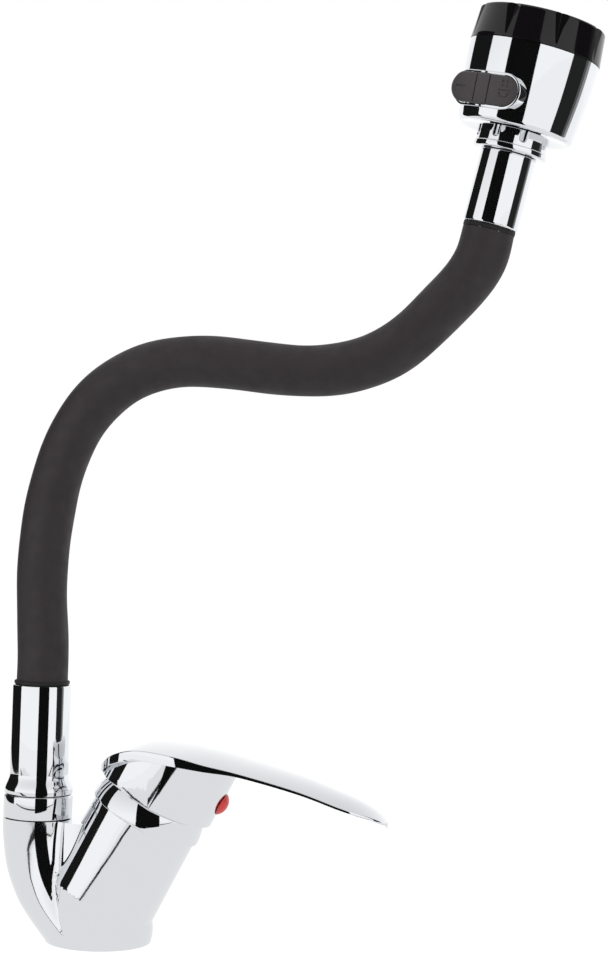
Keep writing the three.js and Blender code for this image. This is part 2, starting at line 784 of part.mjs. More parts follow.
// Riser: the swivel post screwed into the boss, the union nut over it, and the turning spout tail

const riser = new THREE.Group();
riser.position.set(-riser_offset, 0, boss_height);
faucet.add(riser);

function swivelPost() {
  return turned([
    [post_bore_radius, -post_depth],
    [post_radius, -post_depth],
    [post_radius, seat_gap],
    [post_head_radius, seat_gap],
    [post_head_radius, post_head_height],
    [post_bore_radius, post_head_height],
  ], medium_sides);
}

function unionNut() {
  const bore = post_head_radius + seat_gap;
  const lip = tail_neck_radius + turn_gap;
  const lipLow = union_top - union_lip_height;
  const chamfer = seat_gap;
  return turned([
    [bore, seat_gap],
    [union_radius - chamfer, seat_gap],
    [union_radius, seat_gap + chamfer],
    [union_radius, union_top - chamfer],
    [union_radius - chamfer, union_top],
    [lip, union_top],
    [lip, lipLow],
    [bore, lipLow],
  ], large_sides);
}

function spoutTail() {
  const collarLow = post_head_height + seat_gap;
  const collarHigh = collarLow + tail_collar_height;
  const bodyLow = union_top + seat_gap;
  const groove = (place) => [
    [tail_radius, place],
    [tail_radius - ring_groove_depth, place],
    [tail_radius - ring_groove_depth, place + ring_groove_width],
    [tail_radius, place + ring_groove_width],
  ];
  return turned([
    [tail_bore_radius, -tail_depth],
    [tail_radius, -tail_depth],
    ...groove(lower_ring_place),
    ...groove(upper_ring_place),
    [tail_radius, collarLow],
    [tail_collar_radius, collarLow],
    [tail_collar_radius, collarHigh],
    [tail_neck_radius, collarHigh],
    [tail_neck_radius, bodyLow],
    [sleeve_radius - sleeve_wall - seat_gap, bodyLow],
    [sleeve_radius - sleeve_wall - seat_gap, tail_top],
    [tail_bore_radius, tail_top],
  ], medium_sides);
}

/** A rubber ring of many-sided section, seated in a groove. */
function sealRing(grooveRadius, boreRadius, grooveLow) {
  const inner = grooveRadius + seal_gap;
  const outer = boreRadius - seal_gap;
  const section = (outer - inner) / 2;
  const middle = (outer + inner) / 2;
  const level = grooveLow + ring_groove_width / 2;
  return turned(Array.from({ length: seal_sides }, (_, i) => {
    const angle = ((i + 0.5) / seal_sides) * 2 * Math.PI;
    return [middle + section * Math.cos(angle), level + section * Math.sin(angle)];
  }), medium_sides);
}

function riserSleeve() {
  const inner = sleeve_radius - sleeve_wall;
  const flare = Array.from({ length: arc_steps + 1 }, (_, i) => {
    const share = i / arc_steps;
    const swing = (1 + Math.cos(Math.PI * share)) / 2;
    return [
      sleeve_radius + (sleeve_flare_radius - sleeve_radius) * swing,
      sleeve_shoulder_low + (sleeve_shoulder_high - sleeve_shoulder_low) * share,
    ];
  });
  const rounding = sleeve_wall / 3;
  return turned([
    [inner, union_top + seat_gap],
    [sleeve_flare_radius, union_top + seat_gap],
    ...flare,
    [sleeve_radius, sleeve_top - rounding],
    [sleeve_radius - rounding, sleeve_top],
    [inner, sleeve_top],
  ], large_sides);
}

piece(riser, 'swivel_post', swivelPost(), brass);
piece(riser, 'union_nut', unionNut(), chrome);
piece(riser, 'spout_tail', spoutTail(), brass);
const grooveRadius = tail_radius - ring_groove_depth;
piece(riser, 'spout_seal_lower', sealRing(grooveRadius, post_bore_radius, lower_ring_place), rubber);
piece(riser, 'spout_seal_upper', sealRing(grooveRadius, post_bore_radius, upper_ring_place), rubber);
piece(riser, 'riser_sleeve', riserSleeve(), chrome);

// Gooseneck: ball-and-socket links on a water tube, inside a rubber cover

const socketRadius = ball_radius + socket_gap;
const socketOuter = socketRadius + socket_wall;
const coverInner = hose_radius - hose_wall;

/** The cup that holds a ball centred at a height: its outline from the flare to the rim and back. */
function socketProfile(centre, flareFoot) {
  return [
    ...flareFoot,
    [socketOuter, centre + socketRadius * Math.sin(socket_grip)],
    ...arcProfile(socketRadius, centre, socket_grip, socket_floor, arc_steps - 1),
  ];
}

const ballFoot = -Math.sqrt(ball_radius ** 2 - ball_mouth_radius ** 2);
const neckMeets = Math.acos(link_neck_radius / ball_radius);

/** The outline of a ball on a neck, from inside its mouth up to the neck. */
function ballProfile() {
  return [
    [ball_mouth_radius - seat_gap, ballFoot],
    ...arcProfile(ball_radius, 0, Math.asin(ballFoot / ball_radius), neckMeets, arc_steps),
  ];
}

function gooseneckLink() {
  return turned([
    ...ballProfile(),
    ...socketProfile(link_pitch, [
      [link_neck_radius, link_flare_start],
      [socketOuter, link_flare_end],
    ]),
    [link_bore_radius, link_pitch - socketRadius - socket_gap],
    [link_bore_radius, link_neck_radius],
  ], link_sides);
}

/** The fixed socket at the foot of the hose, plugged into the riser sleeve. */
function hoseFoot() {
  const plug = sleeve_radius - sleeve_wall - seat_gap;
  const plugLow = tail_top + seat_gap;
  const plugHigh = sleeve_top - hose_entry;
  const centre = sleeve_top + first_joint_height;
  const neck = coverInner - 3 * seat_gap;
  return turned([
    [plug, plugLow],
    [plug, plugHigh],
    ...socketProfile(centre, [
      [neck, plugHigh],
      [neck, centre - socketRadius],
    ]),
    [link_bore_radius, centre - socketRadius - socket_gap],
    [link_bore_radius, plugLow + link_pitch / 2],
    [tail_bore_radius, plugLow],
  ], medium_sides);
}

piece(riser, 'hose_foot', hoseFoot(), brass);
piece(
  riser,
  'lower_hose_ring',
  ring(
    hose_radius + seat_gap,
    hose_radius + seat_gap + end_ring_width,
    sleeve_top + seat_gap,
    sleeve_top + seat_gap + end_ring_height,
    large_sides,
  ),
  rubber,
);

// the joints' places and the links' leans, worked out from the bends
const joints = [];
const leans = [0];
{
  const place = new THREE.Vector3(-riser_offset, 0, boss_height + sleeve_top + first_joint_height);
  hose_bend_degrees.forEach((bend) => {
    joints.push(place.clone());
    const lean = leans[leans.length - 1] + bend * degree;
    leans.push(lean);
    place.add(new THREE.Vector3(Math.sin(lean), 0, Math.cos(lean)).multiplyScalar(link_pitch));
  });
}
const linkCount = joints.length - 1;

for (let n = 0; n < linkCount; n += 1) {
  const link = piece(faucet, `hose_link_${String(n + 1).padStart(2, '0')}`, gooseneckLink(), brass);
  link.position.copy(joints[n]);
  link.rotation.y = leans[n + 1];
}

// Neck frame: Z up the neck, origin at the last joint
const neck = new THREE.Group();
neck.position.copy(joints[linkCount]);
neck.rotation.y = leans[linkCount + 1];
faucet.add(neck);
const neckWay = new THREE.Vector3(Math.sin(neck.rotation.y), 0, Math.cos(neck.rotation.y));
const neckPoint = (height) => neck.position.clone().add(neckWay.clone().multiplyScalar(height));

/** The cover's middle line: through each joint, set slightly inside its bend. */
function coverRoute() {
  const foot = new THREE.Vector3(-riser_offset, 0, boss_height + sleeve_top - hose_entry);
  const head = neckPoint(last_joint_depth - end_ring_height - 2 * seat_gap);
  const bare = [foot, ...joints, head];
  return bare.map((point, i) => {
    if (i === 0 || i === bare.length - 1) return point;
    const pull = bare[i - 1].clone().add(bare[i + 1]).sub(point.clone().multiplyScalar(2));
    const full = i > 1 && i < bare.length - 2;
    return full ? point.clone().add(pull.multiplyScalar(hose_inset_share)) : point;
  });
}

const route = coverRoute();
// the curve leaves both ends square to what they meet
const beforeFoot = route[0].clone().sub(new THREE.Vector3(0, 0, link_pitch / 2));
const afterHead = neckPoint(last_joint_depth + link_pitch / 2);
const coverCurve = new THREE.CatmullRomCurve3([beforeFoot, ...route, afterHead], false, 'centripetal');
const spans = route.length + 1;

/** A ring of points square to the cover's middle line at a place on it. */
function coverLoop(place, radius, sides) {
  const point = coverCurve.getPoint(place / spans);
  const along = coverCurve.getTangent(place / spans);
  return loopAt(point.x, point.z, Math.atan2(along.x, along.z), radius, sides);
}

function hoseCover() {
  const pieces = route.length - 1;
  const trim = seat_gap / route[1].distanceTo(route[0]);
  const places = Array.from({ length: pieces * hose_steps + 1 }, (_, i) => 1 + i / hose_steps);
  places[0] += trim;
  places[places.length - 1] -= trim;
  return lofted([
    ...places.map((place) => coverLoop(place, hose_radius, hose_sides)),
    ...places.slice().reverse().map((place) => coverLoop(place, coverInner, hose_sides)),
  ], { closed: true });
}

piece(faucet, 'hose_cover', hoseCover(), hose_rubber);

/** The water tube: straight through each link, with a short bend at each joint. */
function waterTube() {
  const start = joints[0].clone().sub(new THREE.Vector3(0, 0, link_pitch));
  const end = neckPoint(link_pitch / 2);
  const corners = [start, ...joints, end];
  const stations = [{ point: start, lean: 0 }];
  joints.forEach((joint, i) => {
    const away = (to) => to.clone().sub(joint).setLength(water_tube_bend);
    const [before, after] = [joint.clone().add(away(corners[i])), joint.clone().add(away(corners[i + 2]))];
    stations.push(
      { point: before, lean: leans[i] },
      { point: after, lean: leans[i + 1] },
    );
  });
  stations.push({ point: end, lean: leans[leans.length - 1] });
  const loops = (radius) =>
    stations.map(({ point, lean }) => loopAt(point.x, point.z, lean, radius, water_tube_sides));
  const inner = loops(water_tube_radius - water_tube_wall).reverse();
  return lofted([...loops(water_tube_radius), ...inner], { closed: true });
}

piece(faucet, 'water_tube', waterTube(), white_plastic);

// Neck: the last ball, its stem through the chrome ferrule, and the spigot that the head turns on

const ferruleLow = last_joint_depth;
const ferruleHigh = ferruleLow + ferrule_length;
piece(
  neck,
  'upper_hose_ring',
  ring(
    hose_radius - end_ring_width,
    hose_radius + end_ring_width / 2,
    ferruleLow - seat_gap - end_ring_height,
    ferruleLow - seat_gap,
    large_sides,
  ),
  rubber,
);

function neckStem() {
  const plugLow = ferruleLow + ferrule_edge;
  const plugHigh = plugLow + neck_plug_length;
  const shoulder = ferruleHigh + seat_gap;
  const flangeLow = shoulder + collar_lip + seat_gap;
  const flangeHigh = flangeLow + neck_flange_height;
  const spigotHigh = flangeHigh + neck_spigot_length;
  const grooveLow = flangeHigh + neck_spigot_length / 2;
  return turned([
    ...ballProfile(),
    [link_neck_radius, plugLow],
    [neck_plug_radius, plugLow],
    [neck_plug_radius, plugHigh],
    [neck_spigot_radius, plugHigh],
    [neck_spigot_radius, flangeLow],
    [neck_flange_radius, flangeLow],
    [neck_flange_radius, flangeHigh],
    [neck_spigot_radius, flangeHigh],
    [neck_spigot_radius, grooveLow],
    [neck_spigot_radius - ring_groove_depth, grooveLow],
    [neck_spigot_radius - ring_groove_depth, grooveLow + ring_groove_width],
    [neck_spigot_radius, grooveLow + ring_groove_width],
    [neck_spigot_radius, spigotHigh],
    [neck_bore_radius, spigotHigh],
    [neck_bore_radius, plugHigh],
    [link_bore_radius, plugLow],
    [link_bore_radius, link_neck_radius],
  ], medium_sides);
}

function neckFerrule() {
  const inner = ferrule_radius - ferrule_wall;
  return turned([
    [inner, ferruleLow],
    [ferrule_radius - ferrule_edge / 2, ferruleLow],
    [ferrule_radius, ferruleLow + ferrule_edge / 2],
    [ferrule_radius, ferruleHigh],
    [neck_spigot_radius + seat_gap, ferruleHigh],
    [neck_spigot_radius + seat_gap, ferruleHigh - ferrule_wall],
    [inner, ferruleHigh - ferrule_wall],
  ], large_sides);
}

piece(neck, 'neck_stem', neckStem(), brass);
piece(neck, 'neck_ferrule', neckFerrule(), chrome);

// Spray head, in the same frame: the collar nut, the shell, the fluted face ring and what they hold

const collarLow = ferruleHigh + seat_gap;
const headBase = ferruleLow; // the head's levels are measured from the ferrule's lower end
const flangeTop = collarLow + collar_lip + seat_gap + neck_flange_height;
const headSealLow = flangeTop + neck_spigot_length / 2;
const collarHigh = headBase + shell_bottom + shell_dish / 2 - seat_gap;

function collarNut() {
  const high = collarHigh;
  const bore = neck_flange_radius + seat_gap;
  const lip = neck_spigot_radius + turn_gap;
  const beadHigh = collarLow + collar_bead_height;
  const blank = turned([
    [lip, collarLow],
    [collar_bead_radius - collar_bead_height / 4, collarLow],
    [collar_bead_radius, collarLow + collar_bead_height / 3],
    [collar_bead_radius, beadHigh - collar_bead_height / 3],
    [collar_radius, beadHigh],
    [collar_radius, high],
    [bore, high],
    [bore, collarLow + collar_lip],
    [lip, collarLow + collar_lip],
  ], large_sides);
  const tools = Array.from({ length: collar_grips }, (_, i) => {
    const angle = ((i + 0.5) / collar_grips) * 2 * Math.PI;
    const reach = collar_radius + collar_grip_radius - collar_grip_bite;
    const groove = rod(collar_grip_radius, beadHigh + collar_bead_height / 2, high + overrun, small_sides);
    return groove.translate(reach * Math.cos(angle), reach * Math.sin(angle), 0);
  });
  return cut(blank, ...tools);
}

/** The shell's side, from its rounded lower edge to the seam, set in or out by an amount. */
function shellSide(offset) {
  const low = headBase + shell_bottom + shell_edge;
  const high = headBase + shell_seam;
  return Array.from({ length: arc_steps + 1 }, (_, i) => {
    const share = i / arc_steps;
    return [shellRadius(share) + offset, low + (high - low) * share];
  });
}

/** The shell's radius at a share of the way up its side. */
function shellRadius(share) {
  const bulge = shell_belly * Math.sin(Math.PI * share);
  return shell_bottom_radius + (shell_seam_radius - shell_bottom_radius) * share + bulge;
}

function headShell() {
  const low = headBase + shell_bottom;
  const high = headBase + shell_seam;
  const side = shellSide(0);
  const dishTop = low + shell_dish;
  const hole = core_radius + seat_gap;
  const blank = turned([
    [hole, dishTop],
    [shell_bottom_radius - 2 * shell_edge, dishTop - shell_dish / 2],
    [shell_bottom_radius - shell_edge, low],
    [shell_bottom_radius - shell_edge / 3, low + shell_edge / 3],
    ...side,
    ...shellSide(-shell_wall).reverse().slice(0, -1),
    [shell_bottom_radius - shell_wall, dishTop + shell_wall],
    [hole, dishTop + shell_wall],
  ], large_sides);
  const width = rocker_band + 2 * seat_gap;
  const height = rocker_width - 2 * trunnion_length;
  const window = atRocker(block(core_radius, -width / 2, -height / 2, rockerStand, width, height));
  return cut(blank, window, trunnionBore());
}

/** The black ring round the face, with V-shaped flutes that run out towards the shell. */
function faceRing() {
  const low = headBase + shell_seam + seat_gap;
  const high = low + face_ring_height;
  const inner = face_ring_rim_radius - face_ring_wall;
  const blank = turned([
    [inner, low],
    [shell_seam_radius, low],
    [face_ring_rim_radius + face_ring_rounding / 4, high - face_ring_rounding],
    [face_ring_rim_radius - face_ring_rounding / 2, high - face_ring_rounding / 4],
    [face_ring_rim_radius - face_ring_rounding, high],
    [inner, high],
  ], large_sides);
  const flutes = Array.from({ length: flute_count }, (_, i) => {
    const angle = (i / flute_count) * 2 * Math.PI;
    const reach = face_ring_rim_radius + seat_gap;
    const corner = (across, depth, z) => new THREE.Vector3(reach - depth, across, z);
    const deep = flute_depth + seat_gap;
    const mouth = high + overrun;
    const foot = low + overrun;
    const footWidth = flute_width / 4;
    return lofted([
      [
        corner(-footWidth / 2, -2 * overrun, foot),
        corner(footWidth / 2, -2 * overrun, foot),
        corner(0, -overrun, foot),
      ],
      [
        corner(-flute_width / 2, -2 * overrun, mouth),
        corner(flute_width / 2, -2 * overrun, mouth),
        corner(0, deep, mouth),
      ],
    ]).rotateZ(angle);
  });
  return cut(blank, ...flutes);
}

/** The core that the collar nut draws onto the neck: waterway, flange and shuttle bore. */
function sprayCore() {
  const low = flangeTop + seat_gap;
  const flangeLow = headBase + core_flange_level;
  const flangeHigh = flangeLow + core_flange_height;
  const bore = neck_spigot_radius + turn_gap;
  const spigotTop = flangeTop + neck_spigot_length + seat_gap;
  const blank = turned([
    [bore, low],
    [neck_flange_radius, low],
    [neck_flange_radius, collarHigh + seat_gap],
    [core_radius, collarHigh + seat_gap],
    [core_radius, flangeLow],
    [core_flange_radius, flangeLow],
    [core_flange_radius, flangeHigh],
    [aerator_radius + seat_gap, flangeHigh],
    [aerator_radius + seat_gap, flangeHigh - aerator_height / 2],
    [neck_bore_radius, flangeHigh - aerator_height / 2],
    [neck_bore_radius, spigotTop],
    [bore, spigotTop],
  ], medium_sides);
  const shuttleBore = rod(shuttle_radius + turn_gap, -2 * core_radius, 2 * core_radius, small_sides)
    .rotateX(Math.PI / 2)
    .translate(shuttle_offset, 0, 0);
  const swing = (rockerStand - shuttle_offset) * Math.sin(rocker_lean) + rocker_arm_tip + 2 * seat_gap;
  const slotHeight = rocker_arm_height + 2 * seat_gap;
  const armSlot = block(shuttle_offset, -swing, -slotHeight / 2, 2 * core_radius, 2 * swing, slotHeight);
  const portReach = (core_radius + core_flange_radius) / 2;
  const ports = Array.from({ length: core_port_count }, (_, i) => {
    const angle = (i / core_port_count) * 2 * Math.PI;
    return rod(core_port_radius, flangeLow - overrun, flangeHigh + overrun, pin_sides)
      .translate(portReach * Math.cos(angle), portReach * Math.sin(angle), 0);
  });
  return cut(blank, atRocker(shuttleBore), atRocker(armSlot), ...ports);
}

function facePlate() {
  const high = headBase + shell_seam + seat_gap + face_ring_height - plate_recess - seat_gap;
  const low = high - plate_thickness;
  const blank = ring(aerator_radius + seat_gap, plate_radius, low, high, medium_sides);
  const nozzles = nozzle_rings.flatMap(({ count, share }) => Array.from({ length: count }, (_, i) => {
    const angle = (i / count) * 2 * Math.PI;
    return rod(nozzle_radius, low + plate_thickness / 2, high + nozzle_height, nozzle_sides)
      .translate(plate_radius * share * Math.cos(angle), plate_radius * share * Math.sin(angle), 0);
  }));
  return joined(blank, ...nozzles);
}

function aerator() {
  const high = headBase + shell_seam + seat_gap + face_ring_height - plate_recess;
  const low = headBase + core_flange_level + core_flange_height - aerator_height / 2 + seat_gap;
  const cup = turned([
    [0, low],
    [aerator_radius, low],
    [aerator_radius, high],
    [aerator_radius - 2 * overrun / 3, high],
    [aerator_radius - 2 * overrun / 3, high - overrun],
    [0, high - overrun],
  ], medium_sides);
  const slotLength = aerator_radius - 2 * overrun - 2 * seat_gap;
  const slots = Array.from({ length: aerator_slots }, (_, i) =>
    block(overrun, -seat_gap, low - overrun, slotLength, 2 * seat_gap, high - low + 2 * overrun)
      .rotateZ((i / aerator_slots) * 2 * Math.PI));
  return cut(cup, ...slots);
}

// Mode rocker: X runs out of the head through its middle, and Z up along the shell's leaning side

const shellRise = shell_seam - shell_bottom - shell_edge;
const rockerStand = shellRadius((rocker_level - shell_bottom - shell_edge) / shellRise) + rocker_proud;
const rockerPivot = rockerStand - rocker_thickness - seat_gap;
const bezelLevel = rockerStand - bezel_step;
const shellLean = Math.atan((shell_seam_radius - shell_bottom_radius) / (shell_seam - shell_bottom));

function atRocker(geometry) {
  return geometry
    .translate(-rockerPivot, 0, 0)
    .rotateY(shellLean)
    .translate(rockerPivot, 0, 0)
    .rotateZ(rocker_turn)
    .translate(0, 0, headBase + rocker_level);
}

function trunnionBore() {
  const reach = rocker_width / 2 + trunnion_length + seat_gap;
  return atRocker(rod(trunnion_radius + turn_gap, -reach, reach, pin_sides).translate(rockerPivot, 0, 0));
}

/** A slab with round ends, standing square to X, from one distance to another. */
function pill(length, width, from, to) {
  const radius = width / 2;
  const reach = length / 2 - radius;
  const shape = new THREE.Shape();
  shape.absarc(reach, 0, radius, -Math.PI / 2, Math.PI / 2, false);
  shape.absarc(-reach, 0, radius, Math.PI / 2, 1.5 * Math.PI, false);
  return extruded(shape, from, to - from, small_sides / 2).rotateZ(Math.PI / 2).rotateY(Math.PI / 2);
}

/** A pill whose outer face is arched round the head, highest at its middle. */
function archedPill(length, width, from, to) {
  const height = width + 2 * overrun;
  const round = rod(rocker_arch_radius, -height / 2, height / 2, large_sides * 4)
    .translate(to - rocker_arch_radius, 0, 0);
  return shared(pill(length, width, from, to + overrun), round);
}

function modeRocker() {
  const back = rockerStand - rocker_thickness;
  const hubReach = rocker_width / 2 - trunnion_length - seat_gap;
  const hub = rod(rocker_hub_radius, -hubReach, hubReach, small_sides).translate(rockerPivot, 0, 0);
  const trunnionReach = rocker_width / 2 + trunnion_length;
  const trunnions = rod(trunnion_radius, -trunnionReach, trunnionReach, pin_sides).translate(rockerPivot, 0, 0);
  const arm = block(
    shuttle_offset,
    -rocker_arm_width / 2,
    -rocker_arm_height / 2,
    back - shuttle_offset + rocker_thickness / 2,
    rocker_arm_width,
    rocker_arm_height,
  );
  const tip = rod(rocker_arm_tip, -rocker_arm_height / 2, rocker_arm_height / 2, pin_sides)
    .translate(shuttle_offset, 0, 0);
  const grooves = [-1, 1].map((side) => block(
    rockerStand - rocker_groove,
    (side * rocker_band) / 2 - rocker_groove / 2,
    -rocker_width,
    overrun,
    rocker_groove,
    2 * rocker_width,
  ));
  const face = archedPill(rocker_length, rocker_width, back, rockerStand);
  const whole = cut(joined(face, hub, trunnions, arm, tip), ...grooves);
  // pressed to one side
  whole.translate(-rockerPivot, 0, 0).rotateZ(rocker_lean).translate(rockerPivot, 0, 0);
  return atRocker(whole);
}

function rockerBezel() {
  const inside = [rocker_length + 2 * seat_gap, rocker_width + 2 * seat_gap];
  const outside = inside.map((size) => size + 2 * bezel_wall);
  const headSolid = turned([
    [0, headBase + shell_bottom],
    ...shellSide(seat_gap),
    [0, headBase + shell_seam],
  ], large_sides);
  return cut(
    atRocker(archedPill(...outside, core_radius, bezelLevel)),
    atRocker(pill(...inside, rockerStand - bezel_depth, bezelLevel + overrun)),
    headSolid,
    trunnionBore(),
  );
}

function diverterShuttle() {
  const body = rod(shuttle_radius, -shuttle_length / 2, shuttle_length / 2, small_sides)
    .rotateX(Math.PI / 2)
    .translate(shuttle_offset, 0, 0);
  const width = 2 * (rocker_arm_tip + seat_gap);
  const notchReach = shuttle_radius + overrun;
  const notch = block(shuttle_offset - width / 2, -width / 2, -notchReach, core_radius, width, 2 * notchReach);
  const shift = (rockerPivot - shuttle_offset) * Math.sin(rocker_lean);
  return atRocker(cut(body, notch).translate(0, -shift, 0));
}

piece(neck, 'collar_nut', collarNut(), chrome);
piece(neck, 'head_shell', headShell(), chrome);
piece(neck, 'face_ring', faceRing(), gloss_black);
piece(neck, 'spray_core', sprayCore(), dark_plastic);
piece(neck, 'nozzle_plate', facePlate(), dark_plastic);
piece(neck, 'aerator', aerator(), white_plastic);
piece(
  neck,
  'head_seal',
  sealRing(neck_spigot_radius - ring_groove_depth, neck_spigot_radius + turn_gap, headSealLow),
  rubber,
);
piece(neck, 'rocker_bezel', rockerBezel(), chrome);
piece(neck, 'mode_rocker', modeRocker(), dark_plastic);
piece(neck, 'diverter_shuttle', diverterShuttle(), white_plastic);

export default faucet;
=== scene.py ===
"""Flexible kitchen faucet: the finish of every surface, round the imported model."""

import json
from contextlib import contextmanager
from math import acos, asin, atan, atan2, cos, hypot, pi, sin, sqrt, tan

import bmesh
import bpy
import numpy as np
from mathutils import Matrix, Vector

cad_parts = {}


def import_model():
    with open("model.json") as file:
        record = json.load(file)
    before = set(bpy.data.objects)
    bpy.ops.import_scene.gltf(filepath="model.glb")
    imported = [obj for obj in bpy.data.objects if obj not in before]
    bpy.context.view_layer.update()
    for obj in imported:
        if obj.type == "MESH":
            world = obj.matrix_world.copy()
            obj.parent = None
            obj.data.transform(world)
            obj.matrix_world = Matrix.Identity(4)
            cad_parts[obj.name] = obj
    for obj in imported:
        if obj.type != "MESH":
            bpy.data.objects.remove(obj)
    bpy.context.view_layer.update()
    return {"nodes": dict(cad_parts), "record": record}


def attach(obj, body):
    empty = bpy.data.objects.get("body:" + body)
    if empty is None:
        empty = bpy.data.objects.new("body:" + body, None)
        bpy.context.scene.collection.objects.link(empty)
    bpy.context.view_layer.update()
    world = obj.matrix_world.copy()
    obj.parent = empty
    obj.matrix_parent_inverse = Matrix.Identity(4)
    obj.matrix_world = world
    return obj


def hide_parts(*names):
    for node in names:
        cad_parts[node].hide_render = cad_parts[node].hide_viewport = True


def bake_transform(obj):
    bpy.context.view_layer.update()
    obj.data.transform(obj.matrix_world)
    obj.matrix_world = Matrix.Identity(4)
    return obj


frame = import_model()

MM = 0.001
DEGREE = pi / 180
MERGE_DISTANCE = 1e-5
TINY = 1e-6
JOINTS = {j["name"]: j for j in frame["record"]["behaviour"]["joints"]}

# Sizes, in millimetres

SEAT_GAP = 0.3
FOOT_RADIUS = 22.9
BARREL_RADIUS = 24.0
BARREL_LENGTH = 39.9
RISER_OFFSET = 29.2
BOSS_RADIUS = 15.2
BOSS_HEIGHT = 52.0
BOSS_LEVEL_SHARES = (0, 0.08, 0.154, 0.308, 0.42, 0.535, 0.77, 1)
BOSS_REACH_SHARES = (0, 0.17, 0.325, 0.6, 0.74, 0.85, 0.965, 1)
BOSS_NARROWING_SHARES = (0, 0.17, 0.33, 0.61, 0.76, 0.87, 0.98, 1)
WEB_REACH = -8.0
WEB_RADIUS = 12.5
VALLEY_BLEND = 3.0
LEAST_BLEND = 0.001
BODY_VOXEL = 1.0
BODY_SPARE = 5.0
LEDGE_SLACK = 0.02
SKIN_SLACK = 0.03
SKIN_FACING = 0.8
TOOL_SPARE = 3.0
END_SPARE = 1.5
CARTRIDGE_BORE = 17.8
CARTRIDGE_FLOOR = -34.0
NUT_BORE = 20.5
NUT_SEAT = -12.3
POST_BORE = 8.3
POST_FLOOR = 20.0
FOOT_POCKET = (17.6, 13.2)
GASKET_RING = (18.8, 21.6, 1.6)

DOME_RADIUS = 25.3
DOME_WALL = 1.2
DOME_OPENING = 15.6
DOME_SPIGOT = (18.6, 20.2, 3.3)
DOME_EDGE = ((0.35, 0), (0.1, 0.12), (0, 0.4), (0, 0.9))

SKIRT_RADIUS = 26.7
SKIRT_WALL = 2.5
SKIRT_RIM = 10.5
SKIRT_CAVITY_TOP = 27.0
LEVER_LENGTH = 125.6
LEVER_BACK = 19.6
LEVER_RISE = 33.4
LEVER_HALF_WIDTH = 27.0
LEVER_CROWN = 3.4
LEVER_THICKNESS = 3.0
LEVER_EDGE = 4.4
LEVER_PLACE_SHARES = (0, 0.02, 0.062, 0.118, 0.18, 0.3, 0.4, 0.51, 0.718, 0.843, 0.9, 0.952, 0.984, 1)
LEVER_CREST_SHARES = (0.68, 0.75, 0.88, 0.96, 1, 0.97, 0.91, 0.82, 0.62, 0.46, 0.38, 0.28, 0.19, 0.12)
LEVER_WIDTH_SHARES = (0.14, 0.46, 0.71, 0.87, 0.96, 1, 0.95, 0.875, 0.72, 0.61, 0.54, 0.42, 0.27, 0.08)
LEVER_CROWN_SHARES = (0.1, 0.3, 0.35, 0.35, 0.45, 0.65, 0.94, 0.9, 0.95, 1, 0.9, 0.6, 0.3, 0.06)
LEVER_EDGE_SHARES = (0.6, 0.8, 0.95, 1, 1, 0.95, 0.65, 0.36, 0.3, 0.3, 0.3, 0.3, 0.3, 0.3)
LEVER_EDGE_ROUNDING = 0.5
STEM_LEAN = 12 * DEGREE
STEM_SOCKET = (7.4, 13.0, 28.5)
STEM_HOLE = (8.2, 11.5, 26.3)
SKIRT_DROP = 0.4
SCREW_LEVEL = 21.5
SCREW_HOLE = (2.7, 3.8)
BUTTON_HOLE = 3.2
BUTTON_SHANK = (2.9, 3.6)
BUTTON_DEPTH = 4.0
BUTTON_RADIUS = 5.0
BUTTON_CROWN = 2.6

UNION_RADIUS = 15.07
UNION_TOP = 10.4
UNION_BORE = (11.8, 9.5, 8.8)
SLEEVE_FLARE = 14.9
SLEEVE_RADIUS = 12.85
SLEEVE_SHOULDER = (12.2, 19.5)
SLEEVE_TOP = 58.2
SLEEVE_WALL = 1.3
SLEEVE_CHAMFER = 0.3
SLEEVE_LIP = ((0, 0.5), (0.12, 0.15), (0.4, 0))
HOSE_ENTRY = 5.7
RING_HEIGHT = 1.3
RING_WIDTH = 0.6
LOWER_RING = (58.5, 59.8)
UPPER_RING = (9.95, 11.85)

HOSE_RADIUS = 11.2
HOSE_WALL = 1.4
HOSE_INSET_SHARE = 1 / 20
HOSE_SIDES = 56
HOSE_STEP = 1.4
HOSE_SWELL = 0.1
HOSE_BEND_SHARE = 0.12
HOSE_FIRST_BEND = 13.0
HOSE_LAST_BEND = 9.0
HOSE_WAVES = (9.7, 4.3)

FERRULE_START = 12.0
FERRULE_RADIUS = 12.0
FERRULE_WALL = 1.0
FERRULE_LENGTH = 30.8
FERRULE_CHAMFER = (0.2, 0.8)
SPIGOT_RADIUS = 7.0
COLLAR_RADIUS = 15.4
COLLAR_BEAD = (15.95, 2.6)
COLLAR_BORE = (7.3, 9.9, 1.6)
COLLAR_GRIPS = 8
COLLAR_GRIP = (2.6, 0.9)
GRIP_END = ((0, 1.1), (0.55, 1.3), (0.9, 2.2), (1, 3.2))
SHELL_BOTTOM = 39.9
SHELL_BOTTOM_RADIUS = 25.0
SHELL_SEAM = 74.1
SHELL_SEAM_RADIUS = 28.0
SHELL_BELLY = 0.55
SHELL_WALL = 1.9
SHELL_EDGE = 2.2
SHELL_DISH = 1.8
SHELL_HOLE = 11.3
SHELL_LIP = (4.0, 0.35)
SHELL_RISE = 0.5
RING_DEPTH = 14.5
RING_RIM_RADIUS = 26.8
RING_WALL = 2.4
FLUTES = 8
FLUTE_WIDTH = 8.5
FLUTE_DEPTH = 2.1
FLUTE_START = 1.2
FLUTE_TURN = 22 * DEGREE
PLATE_RADIUS = 23.6
PLATE_THICKNESS = 2.0
PLATE_RECESS = 2.2
PLATE_RIM = (1.2, 0.35)
NOZZLE_RINGS = ((8, 0.58), (14, 0.84))
NOZZLE_RADIUS = 0.9
